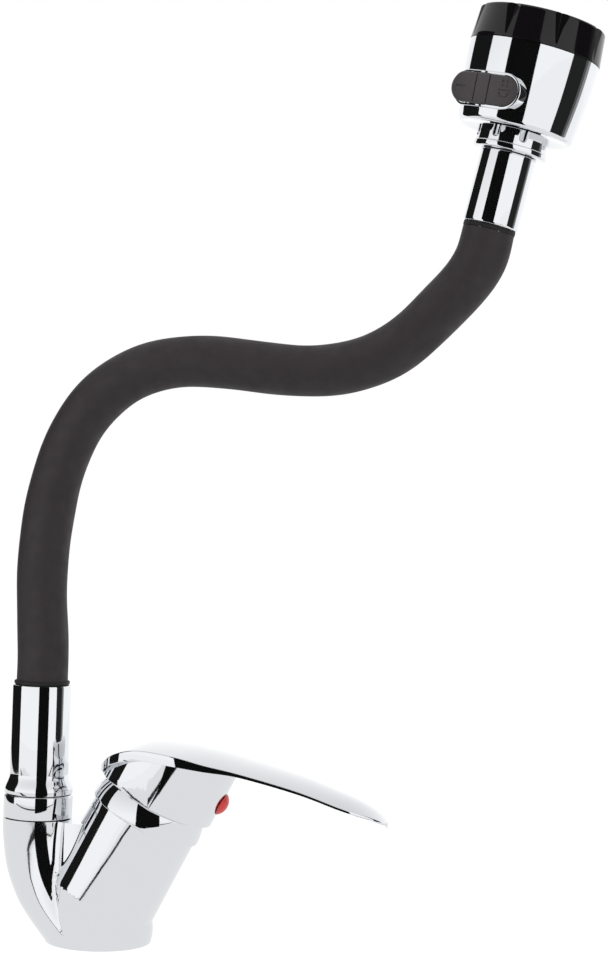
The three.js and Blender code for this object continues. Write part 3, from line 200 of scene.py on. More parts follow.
NOZZLE_OUTLINE = ((0, -1), (1.3, -1), (1.3, 0.1), (0.8, 0.3), (0.7, 1.1), (0.35, 1.1), (0.3, 0.2), (0, 0.2))
AERATOR_RADIUS = 8.2
AERATOR_BOTTOM = 76.8
AERATOR_WALL = 1.0
AERATOR_CUP = 1.5
MESH_PITCH = 1.5
MESH_BAR = 0.35
MESH_REACH = 6.1

ROCKER_LEVEL = 52.0
ROCKER_TURN = -122 * DEGREE
ROCKER_LENGTH = 32.6
ROCKER_WIDTH = 12.6
ROCKER_THICKNESS = 2.4
ROCKER_PROUD = 2.6
ROCKER_ROUNDING = 0.9
ROCKER_ARCH = 64.0
ROCKER_LEAN = 6 * DEGREE
ROCKER_BAND = 6.4
ROCKER_GROOVE = 0.5
ROCKER_HUB = (1.9, 5.2, 40)
ROCKER_PIN = (1.0, 7.1, 32)
PIN_BORE = (1.3, 7.4, 24)
ROCKER_TIP = (1.4, 2.5, 32)
ROCKER_TIP_DEPTH = 6.6
ROCKER_ARM = 1.2
SIGN_DEPTH = 0.25
SIGN_BAR = (-13.2, -0.35, -8.2, 0.35)
SIGN_DROPS = ((9.6, 2.2), (9.6, 3.9), (11.6, 2.2), (11.6, 3.9))
SIGN_DROP = 0.5
SIGN_RIM = (7.8, 0.0, 13.4, 0.55)
SIGN_BOWL = (10.6, -0.6)
SIGN_BOWL_RADII = (2.3, 1.7)
PILL_STEPS = 24
BEZEL_WALL = 0.9
BEZEL_STEP = 1.6
BEZEL_DEPTH = 4.9
BEZEL_ROOT = 11.0
BEZEL_ROUNDING = 0.45
WINDOW = (3.5, 5.5)

# Frames: the pieces are drawn in millimetres in these, and placed by them


def joint_place(name):
    return Vector(JOINTS[name]["pos_m"]) / MM


def leaning(name):
    """How far a joint's axis leans forward from upright."""
    x, _, z = JOINTS[name]["axis"]
    return atan2(x, z)


def rotation(angle, axis="Y"):
    return Matrix.Rotation(angle, 4, axis)


def shift(x=0.0, y=0.0, z=0.0):
    return Matrix.Translation((x, y, z))


def shares(steps):
    """Even steps from 0 to 1, with both ends."""
    return [i / steps for i in range(steps + 1)]


def lerp(a, b, share):
    return a + (b - a) * share


def shell_radius(share):
    """The head shell's radius at a share of the way up its side."""
    bulge = SHELL_BELLY * sin(pi * share)
    return lerp(SHELL_BOTTOM_RADIUS, SHELL_SEAM_RADIUS, share) + bulge


WORLD = Matrix.Identity(4)
BARREL_LEAN = leaning("lever_turn")
LEANING = rotation(BARREL_LEAN)
PIVOT = joint_place("lever_turn")
UPRIGHT_PIVOT = shift(*PIVOT)
BARREL = UPRIGHT_PIVOT @ LEANING
SIDEWAYS = rotation(pi / 2)
RISER = shift(-RISER_OFFSET, 0, BOSS_HEIGHT)
NECK = shift(*joint_place("head_swivel")) @ rotation(leaning("head_swivel"))
HEAD = NECK @ shift(z=FERRULE_START)
ROCKER_SHARE = (ROCKER_LEVEL - SHELL_BOTTOM - SHELL_EDGE) / (SHELL_SEAM - SHELL_BOTTOM - SHELL_EDGE)
ROCKER_STAND = shell_radius(ROCKER_SHARE) + ROCKER_PROUD
ROCKER_PIVOT = ROCKER_STAND - ROCKER_THICKNESS - SEAT_GAP
BEZEL_LEVEL = ROCKER_STAND - BEZEL_STEP
BEZEL_FLOOR = ROCKER_STAND - BEZEL_DEPTH
SHELL_LEAN = atan((SHELL_SEAM_RADIUS - SHELL_BOTTOM_RADIUS) / (SHELL_SEAM - SHELL_BOTTOM))
ROCKER = (
    HEAD
    @ shift(z=ROCKER_LEVEL)
    @ rotation(ROCKER_TURN, "Z")
    @ shift(ROCKER_PIVOT)
    @ rotation(SHELL_LEAN)
    @ shift(-ROCKER_PIVOT)
)
HEAD_TO_ROCKER = HEAD.inverted() @ ROCKER


# Mesh kit


def linked(name, data):
    made = bpy.data.objects.new(name, data)
    bpy.context.scene.collection.objects.link(made)
    return made


def new_object(name, mesh, place=WORLD):
    """An object from a mesh in millimetres, moved to its place and into metres."""
    mesh.transform(Matrix.Scale(MM, 4) @ place)
    return linked(name, mesh)


def around(count, first=0.0):
    """Equal angles about an axis."""
    return [first + 2 * pi * i / count for i in range(count)]


def points_of(mesh):
    points = np.zeros(len(mesh.vertices) * 3)
    mesh.vertices.foreach_get("co", points)
    return points.reshape(-1, 3)


def mesh_from(vertices, faces):
    mesh = bpy.data.meshes.new("part")
    mesh.from_pydata([tuple(v) for v in vertices], [], faces)
    return mesh


@contextmanager
def edited(mesh):
    """A mesh opened as a bmesh, and written back at the end."""
    grid = bmesh.new()
    grid.from_mesh(mesh)
    yield grid
    grid.to_mesh(mesh)
    grid.free()


def shade(mesh, sharp_angle=35 * DEGREE):
    """Smooth faces, with edges sharper than the angle kept crisp."""
    with edited(mesh) as grid:
        bmesh.ops.remove_doubles(grid, verts=grid.verts, dist=MERGE_DISTANCE)
        bmesh.ops.recalc_face_normals(grid, faces=grid.faces)
        for face in grid.faces:
            face.smooth = True
        for edge in grid.edges:
            edge.smooth = len(edge.link_faces) == 2 and edge.calc_face_angle() < sharp_angle
    return mesh


def rounded(profile, steps=4):
    """A closed outline of (x, y, radius) corners, with each corner turned into an arc."""
    points = []
    count = len(profile)
    for i, (x, y, radius) in enumerate(profile):
        here = Vector((x, y))
        if radius == 0:
            points.append((x, y))
            continue
        before = Vector(profile[i - 1][:2]) - here
        after = Vector(profile[(i + 1) % count][:2]) - here
        angle = before.angle(after)
        reach = min(radius / tan(angle / 2), before.length * 0.49, after.length * 0.49)
        fitted = reach * tan(angle / 2)
        middle = (before.normalized() + after.normalized()).normalized()
        centre = here + middle * (fitted / sin(angle / 2))
        start = here + before.normalized() * reach - centre
        end = here + after.normalized() * reach - centre
        turn = start.angle_signed(end)
        points += [tuple(centre + Matrix.Rotation(-turn * share, 2) @ start) for share in shares(steps)]
    return points


def lathe(profile, sides=112, closed=True):
    """Turns an outline of (radius, height) about Z. An open one starts and ends on the axis."""
    vertices, faces = [], []
    starts = []
    for r, z in profile:
        starts.append(len(vertices))
        if r < TINY:
            vertices.append((0, 0, z))
        else:
            vertices += [(r * cos(angle), r * sin(angle), z) for angle in around(sides)]
    last = len(profile) if closed else len(profile) - 1
    for i in range(last):
        j = (i + 1) % len(profile)
        a, b = starts[i], starts[j]
        a_point, b_point = profile[i][0] < TINY, profile[j][0] < TINY
        if a_point and b_point:
            continue
        for k in range(sides):
            n = (k + 1) % sides
            if a_point:
                faces.append((a, b + n, b + k))
            elif b_point:
                faces.append((a + k, a + n, b))
            else:
                faces.append((a + k, a + n, b + n, b + k))
    return mesh_from(vertices, faces)


def skinned(loops, closed=False, last_cap=None):
    """Loops of equally many points, skinned in order, with capped ends or the last joined to the first.

    last_cap lists faces over the last loop, by their places in it.
    """
    count = len(loops[0])
    vertices = [p for loop in loops for p in loop]
    faces = []
    last = len(loops) if closed else len(loops) - 1
    for i in range(last):
        a, b = i * count, ((i + 1) % len(loops)) * count
        for k in range(count):
            n = (k + 1) % count
            faces.append((a + k, a + n, b + n, b + k))
    if not closed:
        start = (len(loops) - 1) * count
        faces.append(tuple(range(count))[::-1])
        faces += [tuple(start + i for i in face) for face in last_cap or [range(count)]]
    return mesh_from(vertices, faces)


def rod(radius, low, high, sides=64):
    return lathe([(0, low), (radius, low), (radius, high), (0, high)], sides, closed=False)


def ring(inner, outer, low, high, sides=112):
    return lathe([(inner, low), (outer, low), (outer, high), (inner, high)], sides)


def box_mesh(low, high):
    size = Vector(high) - Vector(low)
    place = Matrix.Translation((Vector(high) + Vector(low)) / 2) @ Matrix.Diagonal((*size, 1))
    mesh = bpy.data.meshes.new("box")
    with edited(mesh) as grid:
        bmesh.ops.create_cube(grid, size=1)
        bmesh.ops.transform(grid, matrix=place, verts=grid.verts)
    return mesh


def turned_by(mesh, *matrices):
    for matrix in matrices:
        mesh.transform(matrix)
    return mesh


def as_made(made):
    """The mesh that an object's modifier makes of it. The object goes."""
    bpy.context.view_layer.update()
    graph = bpy.context.evaluated_depsgraph_get()
    mesh = bpy.data.meshes.new_from_object(made.evaluated_get(graph))
    bpy.data.objects.remove(made)
    return mesh


def combined(kind, mesh, *tools):
    """Exact boolean of a mesh with tools, in one frame."""
    for tool in tools:
        first, second = linked("whole", mesh), linked("tool", tool)
        step = first.modifiers.new("step", "BOOLEAN")
        step.operation, step.solver, step.object = kind, "EXACT", second
        mesh = as_made(first)
        bpy.data.objects.remove(second)
    return mesh


def cut(mesh, *tools):
    return combined("DIFFERENCE", mesh, *tools)


def joined(mesh, *tools):
    return combined("UNION", mesh, *tools)


def arc(radius, centre, start, end, steps):
    """Points of an arc about a centre on the axis, by elevation."""
    angles = [lerp(start, end, share) for share in shares(steps)]
    return [(radius * cos(a), centre + radius * sin(a)) for a in angles]


def quarter_round(radius, steps):
    """How far a rounded edge stands back from its side and from its end, from the end to the side."""
    angles = [pi / 2 * share for share in shares(steps)]
    return [(radius * (1 - sin(a)), radius * (1 - cos(a))) for a in angles]


def outward(reach, angle):
    return shift(reach * cos(angle), reach * sin(angle))


# Materials


def colour(red, green, blue):
    """A colour written as 8-bit screen values."""
    def linear(value):
        share = value / 255
        return share / 12.92 if share <= 0.04045 else ((share + 0.055) / 1.055) ** 2.4
    return (linear(red), linear(green), linear(blue), 1)


def fill(node, values):
    """Sets a node's inputs by their names."""
    for name, value in values.items():
        node.inputs[name].default_value = value
    return node


class Finish:
    """A material whose colour, roughness and bump may each follow a noise."""

    def __init__(self, name, base, metallic, roughness, specular=0.5):
        self.material = bpy.data.materials.new(name)
        self.material.use_nodes = True
        self.nodes = self.material.node_tree.nodes
        self.links = self.material.node_tree.links
        self.shader = fill(self.nodes["Principled BSDF"], {
            "Base Color": base, "Metallic": metallic,
            "Roughness": roughness, "Specular IOR Level": specular,
        })
        self.place = self.nodes.new("ShaderNodeTexCoord").outputs["Object"]
        self.name, self.base = name, base

    def noise(self, per_metre, detail=2.0, stretch=(1, 1, 1)):
        scaled = fill(self.nodes.new("ShaderNodeMapping"), {"Scale": stretch})
        self.links.new(self.place, scaled.inputs["Vector"])
        made = fill(self.nodes.new("ShaderNodeTexNoise"), {"Scale": per_metre, "Detail": detail})
        self.links.new(scaled.outputs["Vector"], made.inputs["Vector"])
        return made.outputs["Fac"]

    def tint(self, per_metre, other, detail=3.0):
        """The colour drifts between the base and another."""
        mix = self.nodes.new("ShaderNodeMix")
        mix.data_type = "RGBA"
        self.links.new(self.noise(per_metre, detail), mix.inputs["Factor"])
        fill(mix, {"A": self.base, "B": other})
        self.links.new(mix.outputs["Result"], self.shader.inputs["Base Color"])
        return self

    def wear(self, per_metre, low, high, detail=4.0):
        """The roughness drifts between two values."""
        spread = fill(self.nodes.new("ShaderNodeMapRange"), {
            "From Min": 0.3, "From Max": 0.7, "To Min": low, "To Max": high,
        })
        self.links.new(self.noise(per_metre, detail), spread.inputs["Value"])
        self.links.new(spread.outputs["Result"], self.shader.inputs["Roughness"])
        return self

    def bump(self, per_metre, height, detail=2.0, stretch=(1, 1, 1)):
        """A bump of noise, height in metres. A second call adds to the first."""
        made = fill(self.nodes.new("ShaderNodeBump"), {"Strength": 1.0, "Distance": height})
        self.links.new(self.noise(per_metre, detail, stretch), made.inputs["Height"])
        earlier = self.shader.inputs["Normal"].links
        if earlier:
            self.links.new(earlier[0].from_socket, made.inputs["Normal"])
        self.links.new(made.outputs["Normal"], self.shader.inputs["Normal"])
        return self


def make_finishes():
    grey = colour(226, 228, 231)
    chrome = Finish("chrome", grey, 1, 0.035).wear(90, 0.02, 0.06).bump(60, 0.000012)
    cast = Finish("cast_chrome", grey, 1, 0.035).wear(70, 0.025, 0.07)
    cast.bump(38, 0.00012, 1.0).bump(160, 0.00001)
    hose = Finish("hose_rubber", colour(49, 44, 47), 0, 0.62, 0.4)
    hose.tint(240, colour(42, 38, 41)).wear(120, 0.55, 0.7).bump(2600, 0.00004, 4.0)
    seal = Finish("seal_rubber", colour(24, 24, 25), 0, 0.7).wear(200, 0.6, 0.8).bump(1800, 0.00003)
    black = Finish("gloss_black", colour(16, 14, 16), 0, 0.06, 0.35).wear(150, 0.04, 0.1).bump(120, 0.00001)
    dark = Finish("dark_plastic", colour(66, 61, 64), 0, 0.5).tint(400, colour(60, 56, 59))
    dark.bump(3000, 0.00003, 3.0)
    white = Finish("white_plastic", colour(226, 223, 214), 0, 0.45).wear(150, 0.4, 0.55).bump(900, 0.00001)
    brass = Finish("brass", colour(198, 168, 104), 1, 0.3).wear(300, 0.22, 0.4)
    brass.bump(500, 0.00001, 2.0, (1, 1, 6))
    steel = Finish("steel", colour(176, 178, 182), 1, 0.28).wear(300, 0.2, 0.36)
    steel.bump(700, 0.000008, 2.0, (1, 1, 5))
    ceramic = Finish("ceramic", colour(240, 237, 228), 0, 0.2).wear(200, 0.15, 0.25)
    red = Finish("index_red", colour(226, 55, 48), 0, 0.18, 0.6).wear(400, 0.12, 0.25).bump(400, 0.00001)
    made = (chrome, cast, hose, seal, black, dark, white, brass, steel, ceramic, red)
    return {finish.name: finish for finish in made}


FINISHES = make_finishes()


def dress(piece, finish, slot, *nodes, body=None):
    """Gives a piece its finish, hides the nodes that it stands for, and sets it on a body. The slot is not
    used.
    """
    piece.data.materials.clear()
    piece.data.materials.append(FINISHES[finish].material)
    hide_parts(*nodes)
    if body:
        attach(piece, body)


def add(name, mesh, place, finish, node, body):
    """Makes a piece and dresses it, with its finish's name passed for the slot as well."""
    dress(new_object(name, mesh, place), finish, finish, node, body=body)


# Body casting: a field that is zero on its surface gives a smooth skin and its normals


def smooth_table(levels, values, at):
    """A cubic through a table of values, with the slopes of its neighbours."""
    levels, values = np.array(levels, float), np.array(values, float)
    slopes = np.gradient(values, levels)
    slopes[-1] = 0
    i = np.clip(np.searchsorted(levels, at) - 1, 0, len(levels) - 2)
    width = levels[i + 1] - levels[i]
    t = np.clip((at - levels[i]) / width, 0, 1)
    low = (1 + 2 * t) * (1 - t) ** 2 * values[i] + t * (1 - t) ** 2 * width * slopes[i]
    high = t * t * (3 - 2 * t) * values[i + 1] + t * t * (t - 1) * width * slopes[i + 1]
    return low + high


def upright_field(points, reach, radius):
    """Level circles of a radius. How far back their centres stand may follow the height."""
    dx, dy = points[:, 0] - reach, points[:, 1]
    away = np.hypot(dx, dy)
    return away - radius, np.stack([dx, dy, np.zeros_like(dx)], 1) / away[:, None].clip(TINY)


def boss_field(points):
    level = points[:, 2] / BOSS_HEIGHT
    reach = -RISER_OFFSET * smooth_table(BOSS_LEVEL_SHARES, BOSS_REACH_SHARES, level)
    narrowing = smooth_table(BOSS_LEVEL_SHARES, BOSS_NARROWING_SHARES, level)
    return upright_field(points, reach, lerp(FOOT_RADIUS, BOSS_RADIUS, narrowing))


def web_field(points):
    """The upright web that fills the fork below the ledge."""
    share = np.clip(points[:, 2] / BOSS_HEIGHT, -0.1, 1)
    return upright_field(points, WEB_REACH * share, lerp(FOOT_RADIUS, WEB_RADIUS, share))


def barrel_field(points):
    """Circles that tip from the foot's level to the barrel's, then follow the barrel."""
    along = np.array([sin(BARREL_LEAN), 0, cos(BARREL_LEAN)])
    end = np.array(PIVOT) - along * BARREL_LENGTH
    low, high = np.full(len(points), -0.5), np.full(len(points), 3.0)
    for _ in range(22):
        share = (low + high) / 2
        inside = np.clip(share, 0, 1)
        lean = BARREL_LEAN * inside
        centre = end * inside[:, None]
        centre[:, 2] += np.where(share < 0, share * end[2], 0)
        centre += along * (np.clip(share - 1, 0, None) * BARREL_LENGTH)[:, None]
        normal = np.stack([np.sin(lean), np.zeros_like(lean), np.cos(lean)], 1)
        ahead = ((points - centre) * normal).sum(1) > 0
        low, high = np.where(ahead, share, low), np.where(ahead, high, share)
    spoke = points - centre
    away = np.linalg.norm(spoke, axis=1)
    radius = lerp(FOOT_RADIUS, BARREL_RADIUS, inside)
    return away - radius, spoke / away[:, None].clip(TINY)


def blended(first, second):
    """Two fields as one, with a soft crease where they meet at an angle."""
    (a, a_way), (b, b_way) = first, second
    blend = VALLEY_BLEND * np.clip(1 - (a_way * b_way).sum(1), 0, 1) + LEAST_BLEND
    share = np.clip(0.5 + (b - a) / (2 * blend), 0, 1)
    whole = b * (1 - share) + a * share - blend * share * (1 - share)
    return whole, np.where((a < b)[:, None], a_way, b_way)


def lower_field(points):
    """The boss, the web and the barrel as one."""
    whole, _ = blended(blended(boss_field(points), web_field(points)), barrel_field(points))
    return whole


def body_field(points):
    """The whole casting below the ledge, and the barrel alone above it."""
    barrel, _ = barrel_field(points)
    return np.where(points[:, 2] > BOSS_HEIGHT + LEDGE_SLACK, barrel, lower_field(points))


def field_slope(field, points, step=0.05):
    slope = np.zeros_like(points)
    for axis in range(3):
        nudge = np.zeros(3)
        nudge[axis] = step
        slope[:, axis] = (field(points + nudge) - field(points - nudge)) / (2 * step)
    return slope


def tipped_circle(x, z, tilt, radius, sides=72):
    loop = []
    for angle in around(sides):
        across = radius * cos(angle)
        loop.append((x + across * cos(tilt), radius * sin(angle), z - across * sin(tilt)))
    return loop


def on_barrel(height):
    """The barrel's centre at a height along its axis, as (x, z)."""
    return PIVOT.x + sin(BARREL_LEAN) * height, PIVOT.z + cos(BARREL_LEAN) * height


def body_blank():
    """The boss, web and barrel as one voxel skin, longer than the casting at its ends."""
    barrel = skinned([
        tipped_circle(0, -BODY_SPARE, 0, FOOT_RADIUS),
        tipped_circle(0, 0, 0, FOOT_RADIUS),
        tipped_circle(*on_barrel(-BARREL_LENGTH), BARREL_LEAN, BARREL_RADIUS),
        tipped_circle(*on_barrel(BODY_SPARE), BARREL_LEAN, BARREL_RADIUS),
    ])
    web = skinned([
        tipped_circle(0, -BODY_SPARE / 2, 0, FOOT_RADIUS - 0.1),
        tipped_circle(0, 0, 0, FOOT_RADIUS - 0.1),
        tipped_circle(WEB_REACH, BOSS_HEIGHT, 0, WEB_RADIUS),
        tipped_circle(WEB_REACH, BOSS_HEIGHT + BODY_SPARE, 0, WEB_RADIUS),
    ])
    loops = [tipped_circle(0, -BODY_SPARE, 0, FOOT_RADIUS)]
    for level, reach, narrowing in zip(BOSS_LEVEL_SHARES, BOSS_REACH_SHARES, BOSS_NARROWING_SHARES):
        radius = lerp(FOOT_RADIUS, BOSS_RADIUS, narrowing)
        loops.append(tipped_circle(-RISER_OFFSET * reach, BOSS_HEIGHT * level, 0, radius))
    loops.append(tipped_circle(-RISER_OFFSET, BOSS_HEIGHT + BODY_SPARE, 0, BOSS_RADIUS))
    made = linked("blank", joined(barrel, skinned(loops), web))
    step = made.modifiers.new("step", "REMESH")
    step.mode, step.voxel_size = "VOXEL", BODY_VOXEL
    return as_made(made)


def slice_end(grid, point, normal):
    """Cuts an end square: what lies past the plane goes, and the cut is closed."""
    done = bmesh.ops.bisect_plane(
        grid, geom=[*grid.faces, *grid.edges, *grid.verts], dist=MERGE_DISTANCE,
        plane_co=point, plane_no=normal, clear_outer=True,
    )
    rim = [e for e in done["geom_cut"] if isinstance(e, bmesh.types.BMEdge)]
    bmesh.ops.edgenet_fill(grid, edges=rim)


def lower_body():
    """The casting from the worktop to the ledge, moved onto its field."""
    mesh = body_blank()
    points = points_of(mesh)
    moving = (points[:, 2] > -BODY_SPARE / 2) & (points[:, 2] < BOSS_HEIGHT + BODY_SPARE / 2)
    for _ in range(5):
        slope = field_slope(lower_field, points[moving])
        value = lower_field(points[moving])
        points[moving] -= slope * (value / (slope ** 2).sum(1))[:, None]
    mesh.vertices.foreach_set("co", points.ravel())
    with edited(mesh) as grid:
        slice_end(grid, (0, 0, 0), (0, 0, -1))
        slice_end(grid, (0, 0, BOSS_HEIGHT), (0, 0, 1))
        bmesh.ops.recalc_face_normals(grid, faces=grid.faces)
    return mesh


def upper_barrel():
    """The barrel from just below the ledge to its rim."""
    levels = np.linspace(-BARREL_LENGTH, -SEAT_GAP, 40)
    mesh = skinned([tipped_circle(*on_barrel(level), BARREL_LEAN, BARREL_RADIUS, 144) for level in levels])
    with edited(mesh) as grid:
        slice_end(grid, (0, 0, BOSS_HEIGHT - LEDGE_SLACK), (0, 0, -1))
        bmesh.ops.recalc_face_normals(grid, faces=grid.faces)
    return mesh


def body_piece():
    nut_bore = rod(NUT_BORE, NUT_SEAT, TOOL_SPARE)
    cartridge = joined(rod(CARTRIDGE_BORE, CARTRIDGE_FLOOR, TOOL_SPARE), nut_bore)
    tools = [
        turned_by(cartridge, LEANING, UPRIGHT_PIVOT),
        turned_by(rod(POST_BORE, BOSS_HEIGHT - POST_FLOOR, BOSS_HEIGHT + TOOL_SPARE), shift(-RISER_OFFSET)),
        ring(GASKET_RING[0], GASKET_RING[1], -TOOL_SPARE, GASKET_RING[2]),
        rod(FOOT_POCKET[0], -TOOL_SPARE, FOOT_POCKET[1]),
    ]
    mesh = cut(joined(lower_body(), upper_barrel()), *tools)
    for polygon in mesh.polygons:
        polygon.use_smooth = True
    made = new_object("body_shell", mesh)
    smooth_by_field(made)
    dress(made, "cast_chrome", "chrome", "body_casting", body="faucet_body")


def smooth_by_field(made):
    """Normals from the field on the outer skin, and flat ones on the cut faces."""
    mesh = made.data
    points = points_of(mesh) / MM
    slope = field_slope(body_field, points)
    slope /= np.linalg.norm(slope, axis=1)[:, None].clip(TINY)
    on_skin = np.abs(body_field(points)) < SKIN_SLACK
    normals = []
    for polygon in mesh.polygons:
        face = np.array(polygon.normal)
        for vertex in polygon.vertices:
            smooth = on_skin[vertex] and face @ slope[vertex] > SKIN_FACING
            normals.append(slope[vertex] if smooth else face)
    mesh.normals_split_custom_set([tuple(n) for n in normals])


# Dome ring, lever and index button, in the barrel's frame


def dome_piece():
    inner_radius = DOME_RADIUS - DOME_WALL
    top = acos(DOME_OPENING / DOME_RADIUS)
    inner_top = acos(DOME_OPENING / inner_radius)
    inside, outside, depth = DOME_SPIGOT
    inner_low = acos(inside / inner_radius) * 0.25
    profile = [(inside, -depth), (outside, -depth), (outside, 0)]
    profile += [(DOME_RADIUS - inset, level) for inset, level in DOME_EDGE]
    profile += arc(DOME_RADIUS, 0, DOME_EDGE[-1][1] / DOME_RADIUS, top, 28)[1:]
    profile += arc(inner_radius, 0, inner_top, inner_low, 16)
    profile += [(inside, inner_radius * sin(inner_low))]
    add("dome_cap", shade(lathe(profile, 144)), BARREL, "chrome", "dome_ring", "faucet_body")


def catmull(points, at):
    """A smooth curve through points, by its place from 0 to 1. Its slopes allow for uneven spacing."""
    points = [np.array(p, float) for p in points]
    place = at * (len(points) - 1)
    i = min(int(place), len(points) - 2)
    t = place - i
    before = points[i - 1] if i > 0 else 2 * points[0] - points[1]
    after = points[i + 2] if i + 2 < len(points) else 2 * points[-1] - points[-2]
    p1, p2 = points[i], points[i + 1]
    spans = ((before, p1), (p1, p2), (p2, after))
    d0, d1, d2 = (sqrt(max(np.linalg.norm(b - a), TINY)) for a, b in spans)
    t1 = ((p1 - before) / d0 - (p2 - before) / (d0 + d1) + (p2 - p1) / d1) * d1
    t2 = ((p2 - p1) / d1 - (after - p1) / (d1 + d2) + (after - p2) / d2) * d1
    c2 = -3 * p1 + 3 * p2 - 2 * t1 - t2
    c3 = 2 * p1 - 2 * p2 + t1 + t2
    return p1 + t1 * t + c2 * t * t + c3 * t ** 3


def lever_station(at):
    outline = [
        (place * LEVER_LENGTH - LEVER_BACK, LEVER_HALF_WIDTH * width, LEVER_RISE * crest)
        for place, width, crest in zip(LEVER_PLACE_SHARES, LEVER_WIDTH_SHARES, LEVER_CREST_SHARES)
    ]
    x, half_width, crest = catmull(outline, at)
    knots = np.linspace(0, 1, len(LEVER_CROWN_SHARES))
    crown = LEVER_CROWN * float(smooth_table(knots, LEVER_CROWN_SHARES, np.array([at]))[0])
    edge = LEVER_EDGE * float(smooth_table(knots, LEVER_EDGE_SHARES, np.array([at]))[0])
    return x, half_width, crest, crown, edge


def lever_leaf(drop=0.0, flat_level=None, stations=110, across_steps=28):
    loops = []
    for at in shares(stations - 1):
        x, half_width, crest, crown, edge = lever_station(at)
        rounding = min(LEVER_EDGE_ROUNDING, half_width / 4)
        top, bottom = [], []
        for share in shares(across_steps):
            # close steps near the edges
            across = -cos(pi * share)
            z = crest - drop - crown * across * across
            low = z - lerp(LEVER_THICKNESS, edge, abs(across)) if flat_level is None else flat_level
            top.append((x, across * (half_width - rounding), z))
            bottom.insert(0, (x, across * half_width, low))
        rim = top[-1][2]
        corner = [(half_width - side, rim - end) for side, end in quarter_round(rounding, 4)[1:]]
        near = [(x, y, z) for y, z in corner]
        far = [(x, -y, z) for y, z in reversed(corner)]
        loops.append([*far, *top, *near, *bottom])
    return skinned(loops)


def lever_piece():
    stem = rotation(BARREL_LEAN + STEM_LEAN)
    deep = -SKIRT_RADIUS
    inner = SKIRT_RADIUS - SKIRT_WALL
    skirt = turned_by(rod(SKIRT_RADIUS, SKIRT_RIM, SKIRT_RADIUS + LEVER_RISE, 144), LEANING)
    skirt = combined("INTERSECT", skirt, lever_leaf(SKIRT_DROP, deep))
    cavity = turned_by(rod(inner, SKIRT_RIM - END_SPARE, SKIRT_CAVITY_TOP, 96), LEANING)
    cavity = combined("INTERSECT", cavity, lever_leaf(LEVER_THICKNESS, deep))
    radius, low, high = STEM_SOCKET
    socket = turned_by(rod(radius, low, high), stem)
    width, hole_low, hole_high = STEM_HOLE
    hole = turned_by(box_mesh((-width / 2, -width / 2, hole_low), (width / 2, width / 2, hole_high)), stem)
    screw_radius, screw_start = SCREW_HOLE
    front = (SIDEWAYS, shift(z=SCREW_LEVEL), LEANING)
    screw = turned_by(rod(screw_radius, screw_start, inner, 32), *front)
    shank = turned_by(rod(BUTTON_HOLE, inner - SKIRT_WALL, SKIRT_RADIUS + END_SPARE, 32), *front)
    whole = joined(lever_leaf(), skirt)
    whole = cut(joined(cut(whole, cavity), socket), hole, screw, shank)
    add("lever_skin", shade(whole, 32 * DEGREE), UPRIGHT_PIVOT, "chrome", "lever_handle", "lever")


def button_piece():
    back = SKIRT_RADIUS + SEAT_GAP
    dome_radius = (BUTTON_RADIUS ** 2 + BUTTON_CROWN ** 2) / (2 * BUTTON_CROWN)
    edge = asin((dome_radius - BUTTON_CROWN) / dome_radius)
    start = back - BUTTON_DEPTH
    profile = [(0, start), (BUTTON_RADIUS, start), (BUTTON_RADIUS, back)]
    profile += arc(dome_radius, back + BUTTON_CROWN - dome_radius, edge, pi / 2, 14)[1:-1]
    profile += [(0, back + BUTTON_CROWN)]
    dome = lathe(profile, 72, closed=False)
    skirt_fit = turned_by(rod(back, -12, 12, 160), rotation(-pi / 2))
    shank_radius, depth = BUTTON_SHANK
    whole = joined(cut(dome, skirt_fit), rod(shank_radius, back - depth, back + 1, 40))
    place = BARREL @ shift(z=SCREW_LEVEL) @ SIDEWAYS
    add("index_dot", shade(whole), place, "index_red", "index_button", "lever")


# Riser


def union_piece():
    bore, lip, lip_low = UNION_BORE
    profile = rounded([
        (bore, SEAT_GAP, 0), (UNION_RADIUS, SEAT_GAP, 0.5), (UNION_RADIUS, UNION_TOP, 0.6),
        (lip, UNION_TOP, 0.2), (lip, lip_low, 0), (bore, lip_low, 0),
    ])
    add("union_collar", shade(lathe(profile, 128)), RISER, "chrome", "union_nut", "faucet_body")


def sleeve_piece():
    inner = SLEEVE_RADIUS - SLEEVE_WALL
    low, high = SLEEVE_SHOULDER
    start = UNION_TOP + SEAT_GAP
    profile = [(inner, start), (SLEEVE_FLARE - SLEEVE_CHAMFER, start)]
    profile.append((SLEEVE_FLARE, start + SLEEVE_CHAMFER))
    for share in shares(24):
        swing = (1 + cos(pi * share)) / 2
        profile.append((lerp(SLEEVE_RADIUS, SLEEVE_FLARE, swing), lerp(low, high, share)))
    profile += [(SLEEVE_RADIUS - side, SLEEVE_TOP - drop) for side, drop in SLEEVE_LIP]
    profile.append((inner, SLEEVE_TOP))
    add("riser_tube", shade(lathe(profile, 128)), RISER, "chrome", "riser_sleeve", "spout")


def hose_ring(name, node, body, place, inner, low, high):
    outer = inner + RING_WIDTH
    profile = rounded([(inner, low, 0.1), (outer, low, 0.3), (outer, high, 0.35), (inner, high, 0.1)])
    add(name, shade(lathe(profile, 112)), place, "seal_rubber", node, body)


# Hose: one piece for each joint, cut half way along the links


def hose_route():
    """The points that the hose's middle line passes: its ends and the joints, slightly inside the bend."""
    points = [np.array((-RISER_OFFSET, 0, BOSS_HEIGHT + SLEEVE_TOP - HOSE_ENTRY))]
    points += [np.array(joint_place(f"hose_joint_{n:02d}")) for n in range(1, 13)]
    lean = leaning("head_swivel")
    up = np.array((sin(lean), 0, cos(lean)))
    points.append(points[-1] + up * (FERRULE_START - RING_HEIGHT - 2 * SEAT_GAP))
    route = [p.copy() for p in points]
    for i in range(2, len(points) - 2):
        pull = points[i - 1] + points[i + 1] - 2 * points[i]
        route[i] = points[i] + pull * HOSE_INSET_SHARE
    return route, up


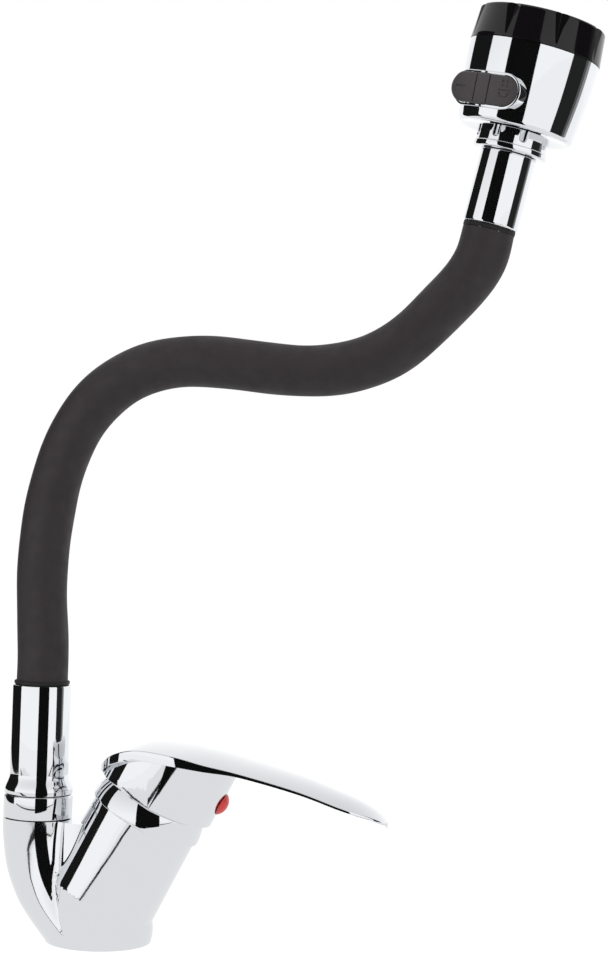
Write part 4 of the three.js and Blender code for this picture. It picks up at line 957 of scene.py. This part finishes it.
def smooth_line(points, first_way, last_way):
    """A curve of even bend through points, with its end directions: returns places and ways by length."""
    points = np.array(points)
    spans = np.linalg.norm(np.diff(points, axis=0), axis=1)
    knots = np.concatenate([[0], np.cumsum(spans)])
    count = len(points)
    system = np.zeros((count, count))
    wanted = np.zeros((count, 3))
    system[0, 0] = system[-1, -1] = 1
    wanted[0], wanted[-1] = first_way, last_way
    for i in range(1, count - 1):
        a, b = spans[i - 1], spans[i]
        system[i, i - 1:i + 2] = b, 2 * (a + b), a
        wanted[i] = 3 * (b * (points[i] - points[i - 1]) / a + a * (points[i + 1] - points[i]) / b)
    ways = np.linalg.solve(system, wanted)

    def at(length):
        i = int(np.clip(np.searchsorted(knots, length) - 1, 0, count - 2))
        h = spans[i]
        t = (length - knots[i]) / h
        p0, p1, m0, m1 = points[i], points[i + 1], ways[i] * h, ways[i + 1] * h
        place = (2 * t**3 - 3 * t**2 + 1) * p0 + (t**3 - 2 * t**2 + t) * m0
        place = place + (-2 * t**3 + 3 * t**2) * p1 + (t**3 - t**2) * m1
        way = (6 * t**2 - 6 * t) * p0 + (3 * t**2 - 4 * t + 1) * m0
        way = way + (-6 * t**2 + 6 * t) * p1 + (3 * t**2 - 2 * t) * m1
        return place, way / np.linalg.norm(way)

    return knots, at


def hose_pieces():
    route, up = hose_route()
    knots, at = smooth_line(route, np.array((0, 0, 1.0)), up)
    long_wave, short_wave = HOSE_WAVES
    cuts = [knots[0] + SEAT_GAP]
    cuts += [(knots[n] + knots[n + 1]) / 2 for n in range(1, 12)]
    cuts += [knots[-1] - SEAT_GAP]
    for n in range(12):
        start, end = cuts[n], cuts[n + 1]
        steps = max(6, round((end - start) / HOSE_STEP))
        outer, inner = [], []
        for share in shares(steps):
            length = lerp(start, end, share)
            place, way = at(length)
            lean = atan2(way[0], way[2])
            swing = sin(length / long_wave) + 0.6 * sin(length / short_wave + 1.2)
            swell = HOSE_SWELL * swing - HOSE_SWELL
            outer.append(tipped_circle(place[0], place[2], lean, HOSE_RADIUS + swell, HOSE_SIDES))
            inner.insert(0, tipped_circle(place[0], place[2], lean, HOSE_RADIUS - HOSE_WALL, HOSE_SIDES))
        skin = shade(skinned(outer + inner, closed=True), 50 * DEGREE)
        piece = new_object(f"hose_skin_{n + 1:02d}", skin)
        dress(piece, "hose_rubber", "hose_rubber", "hose_cover")
        bend_from, bend_to = lerp(start, end, HOSE_BEND_SHARE), lerp(end, start, HOSE_BEND_SHARE)
        if n == 0:
            bend_from = max(start, knots[1] - HOSE_FIRST_BEND)
        if n == 11:
            bend_to = min(end, knots[12] + HOSE_LAST_BEND)
        tuple(at(bend_from)[0] * MM)
        tuple(at(bend_to)[0] * MM)
        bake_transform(piece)


# Neck and spray head, with heights from the ferrule's lower end


def ferrule_piece():
    inner = FERRULE_RADIUS - FERRULE_WALL
    neck = SPIGOT_RADIUS + SEAT_GAP
    inset, rise = FERRULE_CHAMFER
    profile = rounded([
        (inner, 0, 0.1), (FERRULE_RADIUS - inset, 0, 0.3), (FERRULE_RADIUS, rise, 0.4),
        (FERRULE_RADIUS, FERRULE_LENGTH, 0.3), (neck, FERRULE_LENGTH, 0),
        (neck, FERRULE_LENGTH - FERRULE_WALL, 0), (inner, FERRULE_LENGTH - FERRULE_WALL, 0),
    ])
    add("ferrule_tube", shade(lathe(profile, 128)), HEAD, "chrome", "neck_ferrule", "neck")


def collar_piece():
    low = FERRULE_LENGTH + SEAT_GAP
    high = SHELL_BOTTOM + SHELL_DISH / 2 - SEAT_GAP
    bead_radius, bead_height = COLLAR_BEAD
    lip, bore, lip_height = COLLAR_BORE
    shoulder = low + bead_height
    profile = rounded([
        (lip, low, 0), (bead_radius, low, 0.9), (bead_radius, shoulder, 0.8),
        (COLLAR_RADIUS, shoulder, 0.25), (COLLAR_RADIUS, high, 0.3),
        (bore, high, 0), (bore, low + lip_height, 0), (lip, low + lip_height, 0),
    ], 5)
    blank = lathe(profile, 160)
    grip, bite = COLLAR_GRIP
    reach = COLLAR_RADIUS + grip - bite
    outline = [(grip * share, shoulder + rise) for share, rise in GRIP_END]
    outline += [(grip, high + END_SPARE), (0, high + END_SPARE)]
    tools = []
    for angle in around(COLLAR_GRIPS, pi / COLLAR_GRIPS):
        tools.append(turned_by(lathe(outline, 40, closed=False), outward(reach, angle)))
    add("collar_ring", shade(cut(blank, *tools), 28 * DEGREE), HEAD, "chrome", "collar_nut", "spray_head")


def shell_side(offset=0.0, steps=24):
    low, high = SHELL_BOTTOM + SHELL_EDGE, SHELL_SEAM
    return [(shell_radius(share) + offset, lerp(low, high, share)) for share in shares(steps)]


def shell_piece():
    dish_top = SHELL_BOTTOM + SHELL_DISH
    lip, drop = SHELL_LIP
    profile = [(SHELL_HOLE, dish_top), (SHELL_HOLE + lip, dish_top - drop)]
    profile += [(SHELL_BOTTOM_RADIUS - 2 * SHELL_EDGE, SHELL_BOTTOM + SHELL_RISE)]
    edge = quarter_round(SHELL_EDGE, 8)
    profile += [(SHELL_BOTTOM_RADIUS - side, SHELL_BOTTOM + end) for side, end in edge]
    profile += shell_side()[1:]
    profile += list(reversed(shell_side(-SHELL_WALL)))[:-1]
    inner_top = dish_top + SHELL_WALL
    profile += [(SHELL_BOTTOM_RADIUS - SHELL_WALL, inner_top), (SHELL_HOLE, inner_top)]
    blank = lathe(profile, 176)
    y, z = WINDOW
    window = turned_by(box_mesh((BEZEL_ROOT, -y, -z), (ROCKER_STAND, y, z)), HEAD_TO_ROCKER)
    trunnions = turned_by(pin(*PIN_BORE), HEAD_TO_ROCKER)
    add("head_bell", shade(cut(blank, window, trunnions)), HEAD, "chrome", "head_shell", "spray_head")


def face_ring_piece():
    low = SHELL_SEAM + SEAT_GAP
    high = low + RING_DEPTH
    inner = RING_RIM_RADIUS - RING_WALL
    profile = rounded([
        (inner, low, 0), (SHELL_SEAM_RADIUS, low, 0.25), (SHELL_SEAM_RADIUS - 0.1, low + 1.5, 0.5),
        (RING_RIM_RADIUS + 0.1, high, 1.4), (inner, high, 0.5),
    ], 6)
    blank = lathe(profile, 176)
    outer = RING_RIM_RADIUS + TOOL_SPARE
    apex = RING_RIM_RADIUS - FLUTE_DEPTH
    half = FLUTE_WIDTH / 2 * (outer - apex) / FLUTE_DEPTH
    foot, mouth = low + FLUTE_START, high + END_SPARE
    flute = [
        [(outer, -half / 4, foot), (outer, half / 4, foot), (SHELL_SEAM_RADIUS - SEAT_GAP, 0, foot)],
        [(outer, -half, mouth), (outer, half, mouth), (apex, 0, mouth)],
    ]
    turns = [rotation(angle, "Z") for angle in around(FLUTES, FLUTE_TURN)]
    tools = [turned_by(skinned(flute), turn) for turn in turns]
    add("face_rim", shade(cut(blank, *tools), 25 * DEGREE), HEAD, "gloss_black", "face_ring", "spray_head")


def plate_piece():
    high = SHELL_SEAM + RING_DEPTH - PLATE_RECESS
    low = high - PLATE_THICKNESS
    inner = AERATOR_RADIUS + SEAT_GAP
    width, height = PLATE_RIM
    profile = rounded([
        (inner, low, 0), (PLATE_RADIUS, low, 0), (PLATE_RADIUS, high, 0.4), (inner + width, high, 0.3),
        (inner + width, high + height, 0.1), (inner, high + height, 0.1),
    ])
    whole = lathe(profile, 128)
    outline = [(NOZZLE_RADIUS * share, high + rise) for share, rise in NOZZLE_OUTLINE]
    nipples = []
    for count, share in NOZZLE_RINGS:
        for angle in around(count):
            nipple = lathe(outline, 20, closed=False)
            nipples.append(turned_by(nipple, outward(PLATE_RADIUS * share, angle)))
    add("spray_plate", shade(joined(whole, *nipples)), HEAD, "dark_plastic", "nozzle_plate", "spray_head")


def aerator_piece():
    high = SHELL_SEAM + SEAT_GAP + RING_DEPTH - PLATE_RECESS
    inner = AERATOR_RADIUS - AERATOR_WALL
    cup = lathe(rounded([
        (0, AERATOR_BOTTOM, 0), (AERATOR_RADIUS, AERATOR_BOTTOM, 0), (AERATOR_RADIUS, high, 0.3),
        (inner, high, 0.2), (inner, high - AERATOR_CUP, 0.1), (0, high - AERATOR_CUP, 0),
    ]), 96, closed=False)
    half = (MESH_PITCH - MESH_BAR) / 2
    steps = [i * MESH_PITCH for i in range(-4, 5)]
    whole = bpy.data.meshes.new("mesh")
    with edited(whole) as grid:
        for x in steps:
            for y in steps:
                if hypot(x, y) < MESH_REACH:
                    hole = box_mesh((x - half, y - half, high - TOOL_SPARE), (x + half, y + half, high))
                    grid.from_mesh(hole)
    add("aerator_mesh", shade(cut(cup, whole)), HEAD, "white_plastic", "aerator", "spray_head")


# Mode rocker


def sag(y):
    """How far the rocker's arched face has dropped at a distance from its middle."""
    return ROCKER_ARCH - sqrt(ROCKER_ARCH ** 2 - y * y)


def arched(mesh):
    """A mesh whose points are dropped to follow the arch."""
    for vertex in mesh.vertices:
        vertex.co.x -= sag(vertex.co.y)
    return mesh


def pin(radius, reach, sides, depth=ROCKER_PIVOT):
    """A rod across the head, centred on the rocker's pivot or at another depth."""
    return turned_by(rod(radius, -reach, reach, sides), shift(depth))


def stadium(reach, radius):
    """A loop with two round ends and evenly cut straight sides, as (y, z)."""
    loop = []
    for side in (1, -1):
        for share in shares(PILL_STEPS):
            angle = side * lerp(-pi / 2, pi / 2, share)
            loop.append((side * (reach + radius * cos(angle)), radius * sin(angle)))
        for i in range(1, PILL_STEPS):
            loop.append((side * reach * (1 - 2 * i / PILL_STEPS), side * radius))
    return loop


def stadium_strips():
    """Faces that cross a stadium from side to side, from one round end to the other."""
    count = 4 * PILL_STEPS
    strips = []
    for i in range(PILL_STEPS // 2, PILL_STEPS // 2 + count // 2):
        strip = [i % count, (i + 1) % count, (PILL_STEPS - i - 1) % count, (PILL_STEPS - i) % count]
        strips.append(tuple(dict.fromkeys(strip)))
    return strips


def pill(length, width, low, high, rounding=0.0, bent=False, steps=5):
    """A slab with round ends and a rounded upper rim, standing square to X. A bent one's face is arched."""
    radius = width / 2
    reach = length / 2 - radius
    levels = [(low, 0.0, 0.0)]
    if rounding:
        levels += [(high - drop, inset, 1.0) for drop, inset in quarter_round(rounding, steps)]
    else:
        levels.append((high, 0.0, 1.0))
    loops = []
    for x, inset, follows in levels:
        loop = stadium(reach, radius - inset)
        loops.append([(x - follows * bent * sag(y), y, z) for y, z in loop])
    return skinned(loops, last_cap=stadium_strips())


def rocker_piece():
    back = ROCKER_STAND - ROCKER_THICKNESS
    face = pill(ROCKER_LENGTH, ROCKER_WIDTH, back, ROCKER_STAND, ROCKER_ROUNDING, bent=True)
    arm = box_mesh((ROCKER_TIP_DEPTH, -ROCKER_ARM, -ROCKER_TIP[1]), (back + 1, ROCKER_ARM, ROCKER_TIP[1]))
    tip = pin(*ROCKER_TIP, ROCKER_TIP_DEPTH)
    tools = []
    half = ROCKER_GROOVE / 2
    floor = ROCKER_STAND - ROCKER_GROOVE
    for y in (-ROCKER_BAND / 2, ROCKER_BAND / 2):
        tools.append(box_mesh((floor, y - half, -9), (ROCKER_STAND + 1, y + half, 9)))
    tools += [arched(sign) for sign in rocker_signs()]
    whole = cut(joined(face, pin(*ROCKER_HUB), pin(*ROCKER_PIN), arm, tip), *tools)
    whole.transform(shift(ROCKER_PIVOT) @ rotation(ROCKER_LEAN, "Z") @ shift(-ROCKER_PIVOT))
    add("rocker_cap", shade(whole, 40 * DEGREE), ROCKER, "dark_plastic", "mode_rocker", "rocker")


def rocker_signs():
    """Shallow signs sunk in the face: a bar for the jet, and drops over a bowl for the spray."""
    deep, out = ROCKER_STAND - SIGN_DEPTH, ROCKER_STAND + 1
    boxes = [SIGN_BAR]
    boxes += [(y - SIGN_DROP, z - SIGN_DROP, y + SIGN_DROP, z + SIGN_DROP) for y, z in SIGN_DROPS]
    boxes.append(SIGN_RIM)
    signs = [box_mesh((deep, y, z), (out, far_y, far_z)) for y, z, far_y, far_z in boxes]
    angles = np.linspace(-pi, 0, 15)
    outer, inner = SIGN_BOWL_RADII
    bowl = [(outer, a) for a in angles] + [(inner, a) for a in reversed(angles)]
    y, z = SIGN_BOWL
    loop = [(y + r * cos(a), z + r * sin(a)) for r, a in bowl]
    signs.append(skinned([[(x, *point) for point in loop] for x in (deep, out)]))
    return signs


def bezel_piece():
    inside = (ROCKER_LENGTH + 2 * SEAT_GAP, ROCKER_WIDTH + 2 * SEAT_GAP)
    outside = (inside[0] + 2 * BEZEL_WALL, inside[1] + 2 * BEZEL_WALL)
    head = lathe([(0, SHELL_BOTTOM), *shell_side(SEAT_GAP), (0, SHELL_SEAM)], 176, closed=False)
    head = turned_by(head, HEAD_TO_ROCKER.inverted())
    pocket = pill(*inside, BEZEL_FLOOR, BEZEL_LEVEL + 2)
    blank = pill(*outside, BEZEL_ROOT, BEZEL_LEVEL, BEZEL_ROUNDING, bent=True)
    whole = cut(blank, pocket, head, pin(*PIN_BORE))
    add("rocker_rim", shade(whole), ROCKER, "chrome", "rocker_bezel", "spray_head")


# CAD nodes that stay: the cartridge, the links and the other inner pieces


def dress_cad_nodes():
    for part in frame["record"]["subparts"]:
        node = frame["nodes"][part["node"]]
        node.data.materials.clear()
        node.data.materials.append(FINISHES[part["material_slot"]].material)


# Studio

SKY_FADE = (0.15, 1.14, 0.74)
SKY_LIGHT = 0.55
GROUND_LIGHT = 0.8
GROUND_GLOW = (0.8, 1.15)

# Flags that only reflections see: two ends as (x, y) and a height, in metres, and how light each is
FLAGS = {
    "front_flag": ((0.002, -0.25), (0.232, -0.25), 0.7, 0.005),
    "left_flag": ((-0.6, -0.22), (-0.6, 0.55), 0.8, 0.01),
    "right_flag": ((0.75, -0.17), (0.75, 0.16), 0.8, 0.02),
    "right_fade": ((0.75, 0.16), (0.75, 0.23), 0.8, 0.1),
    "right_edge": ((0.75, 0.23), (0.75, 0.32), 0.8, 0.3),
    "table_edge": ((-0.6, -0.33), (0.9, -0.33), 0.01, 0.02),
}

CAMERA_LENS = 78.5
CAMERA_PLACE = (0.2397, -0.8807, 0.2046)
CAMERA_TURN = 10 * DEGREE
CAMERA_ROLL = 1.9 * DEGREE


def fresh_nodes(owner):
    """The nodes and links of a material or world, with nothing in them."""
    owner.use_nodes = True
    nodes, links = owner.node_tree.nodes, owner.node_tree.links
    nodes.clear()
    return nodes, links


def grey_light(nodes, kind, value, strength=1.0):
    """The shader of a node that shines in grey."""
    return fill(nodes.new(kind), {"Color": (value, value, value, 1), "Strength": strength}).outputs[0]


def mixed(nodes, links, share, first, second):
    """Two shaders by a share, which is a number or another node's output."""
    mix = nodes.new("ShaderNodeMixShader")
    if isinstance(share, float):
        fill(mix, {"Fac": share})
    else:
        links.new(share, mix.inputs["Fac"])
    links.new(first, mix.inputs[1])
    links.new(second, mix.inputs[2])
    return mix.outputs[0]


def ground_material(name, for_gloss):
    """A white surface that the camera and the gloss see lighter or darker than the light that it gives."""
    material = bpy.data.materials.new(name)
    nodes, links = fresh_nodes(material)
    path = nodes.new("ShaderNodeLightPath").outputs
    camera_share, strength = GROUND_GLOW

    def surface(value, share):
        matt = fill(nodes.new("ShaderNodeBsdfDiffuse"), {"Color": (value, value, value, 1)})
        glow = grey_light(nodes, "ShaderNodeEmission", value, strength)
        return mixed(nodes, links, share, matt.outputs[0], glow)

    rest = mixed(nodes, links, path["Is Glossy Ray"], surface(GROUND_LIGHT, 0.0), surface(for_gloss, 1.0))
    whole = mixed(nodes, links, path["Is Camera Ray"], rest, surface(1.0, camera_share))
    links.new(whole, nodes.new("ShaderNodeOutputMaterial").inputs["Surface"])
    return material


def ground(name, size, level, for_gloss):
    bpy.ops.mesh.primitive_plane_add(size=size, location=(0, 0, level))
    made = bpy.context.object
    made.name = name
    made.data.materials.append(ground_material(name, for_gloss))


def world():
    made = bpy.data.worlds.new("studio")
    bpy.context.scene.world = made
    nodes, links = fresh_nodes(made)
    path = nodes.new("ShaderNodeLightPath").outputs

    # Reflections see the sky darken towards its top
    way = nodes.new("ShaderNodeSeparateXYZ")
    links.new(nodes.new("ShaderNodeTexCoord").outputs["Generated"], way.inputs["Vector"])
    start, low, top = SKY_FADE
    fade = fill(nodes.new("ShaderNodeMapRange"), {
        "From Min": start, "From Max": 1.0, "To Min": low, "To Max": top,
    })
    links.new(way.outputs["Z"], fade.inputs["Value"])
    gloss = grey_light(nodes, "ShaderNodeBackground", 1)
    links.new(fade.outputs["Result"], gloss.node.inputs["Strength"])
    unlit = nodes.new("ShaderNodeMath")
    unlit.operation = "MAXIMUM"
    links.new(path["Is Camera Ray"], unlit.inputs[0])
    links.new(path["Is Transmission Ray"], unlit.inputs[1])
    light = grey_light(nodes, "ShaderNodeBackground", 1, SKY_LIGHT)
    rest = mixed(nodes, links, path["Is Glossy Ray"], light, gloss)
    whole = mixed(nodes, links, unlit.outputs[0], rest, grey_light(nodes, "ShaderNodeBackground", 1))
    links.new(whole, nodes.new("ShaderNodeOutputWorld").inputs["Surface"])


def lamp(name, place, target, size, power):
    data = bpy.data.lights.new(name, "AREA")
    data.energy, data.shape, data.size = power, "DISK", size
    made = linked(name, data)
    made.location = place
    made.rotation_euler = (Vector(target) - Vector(place)).to_track_quat("-Z", "Y").to_euler()
    made.visible_glossy = False


def flag(name, start, end, height, lightness):
    corners = [(*start, 0), (*end, 0), (*end, height), (*start, height)]
    made = linked(name, mesh_from(corners, [(0, 1, 2, 3)]))
    material = bpy.data.materials.new(name)
    nodes, links = fresh_nodes(material)
    glow = grey_light(nodes, "ShaderNodeEmission", lightness)
    links.new(glow, nodes.new("ShaderNodeOutputMaterial").inputs["Surface"])
    made.data.materials.append(material)
    made.visible_camera = False
    made.visible_diffuse = False
    made.visible_shadow = False
    made.visible_transmission = False
    made.visible_volume_scatter = False


def studio():
    world()
    ground("floor", 8, -0.0004, 0.95)
    ground("worktop", 1.2, -0.0002, 0.8)
    lamp("key", (-0.9, -1.1, 1.5), (0.05, 0, 0.2), 1.0, 14)
    lamp("fill", (1.3, -0.9, 0.9), (0.05, 0, 0.2), 1.2, 8)
    for name, values in FLAGS.items():
        flag(name, *values)


def camera():
    data = bpy.data.cameras.new("camera")
    data.lens, data.sensor_width = CAMERA_LENS, 36
    data.clip_start, data.clip_end = 0.05, 30
    made = linked("camera", data)
    bpy.context.scene.camera = made
    aim = Vector((-sin(CAMERA_TURN), cos(CAMERA_TURN), 0))
    upright = aim.to_track_quat("-Z", "Y").to_matrix().to_4x4()
    made.matrix_world = shift(*CAMERA_PLACE) @ upright @ rotation(CAMERA_ROLL, "Z")


camera()
studio()
dress_cad_nodes()
body_piece()
dome_piece()
lever_piece()
button_piece()
union_piece()
sleeve_piece()
hose_ring("lower_ring", "lower_hose_ring", "spout", RISER, HOSE_RADIUS + SEAT_GAP, *LOWER_RING)
hose_pieces()
hose_ring("upper_ring", "upper_hose_ring", "neck", NECK, HOSE_RADIUS - RING_WIDTH, *UPPER_RING)
ferrule_piece()
collar_piece()
shell_piece()
face_ring_piece()
plate_piece()
aerator_piece()
bezel_piece()
rocker_piece()

bpy.context.scene.view_settings.view_transform = "Standard"
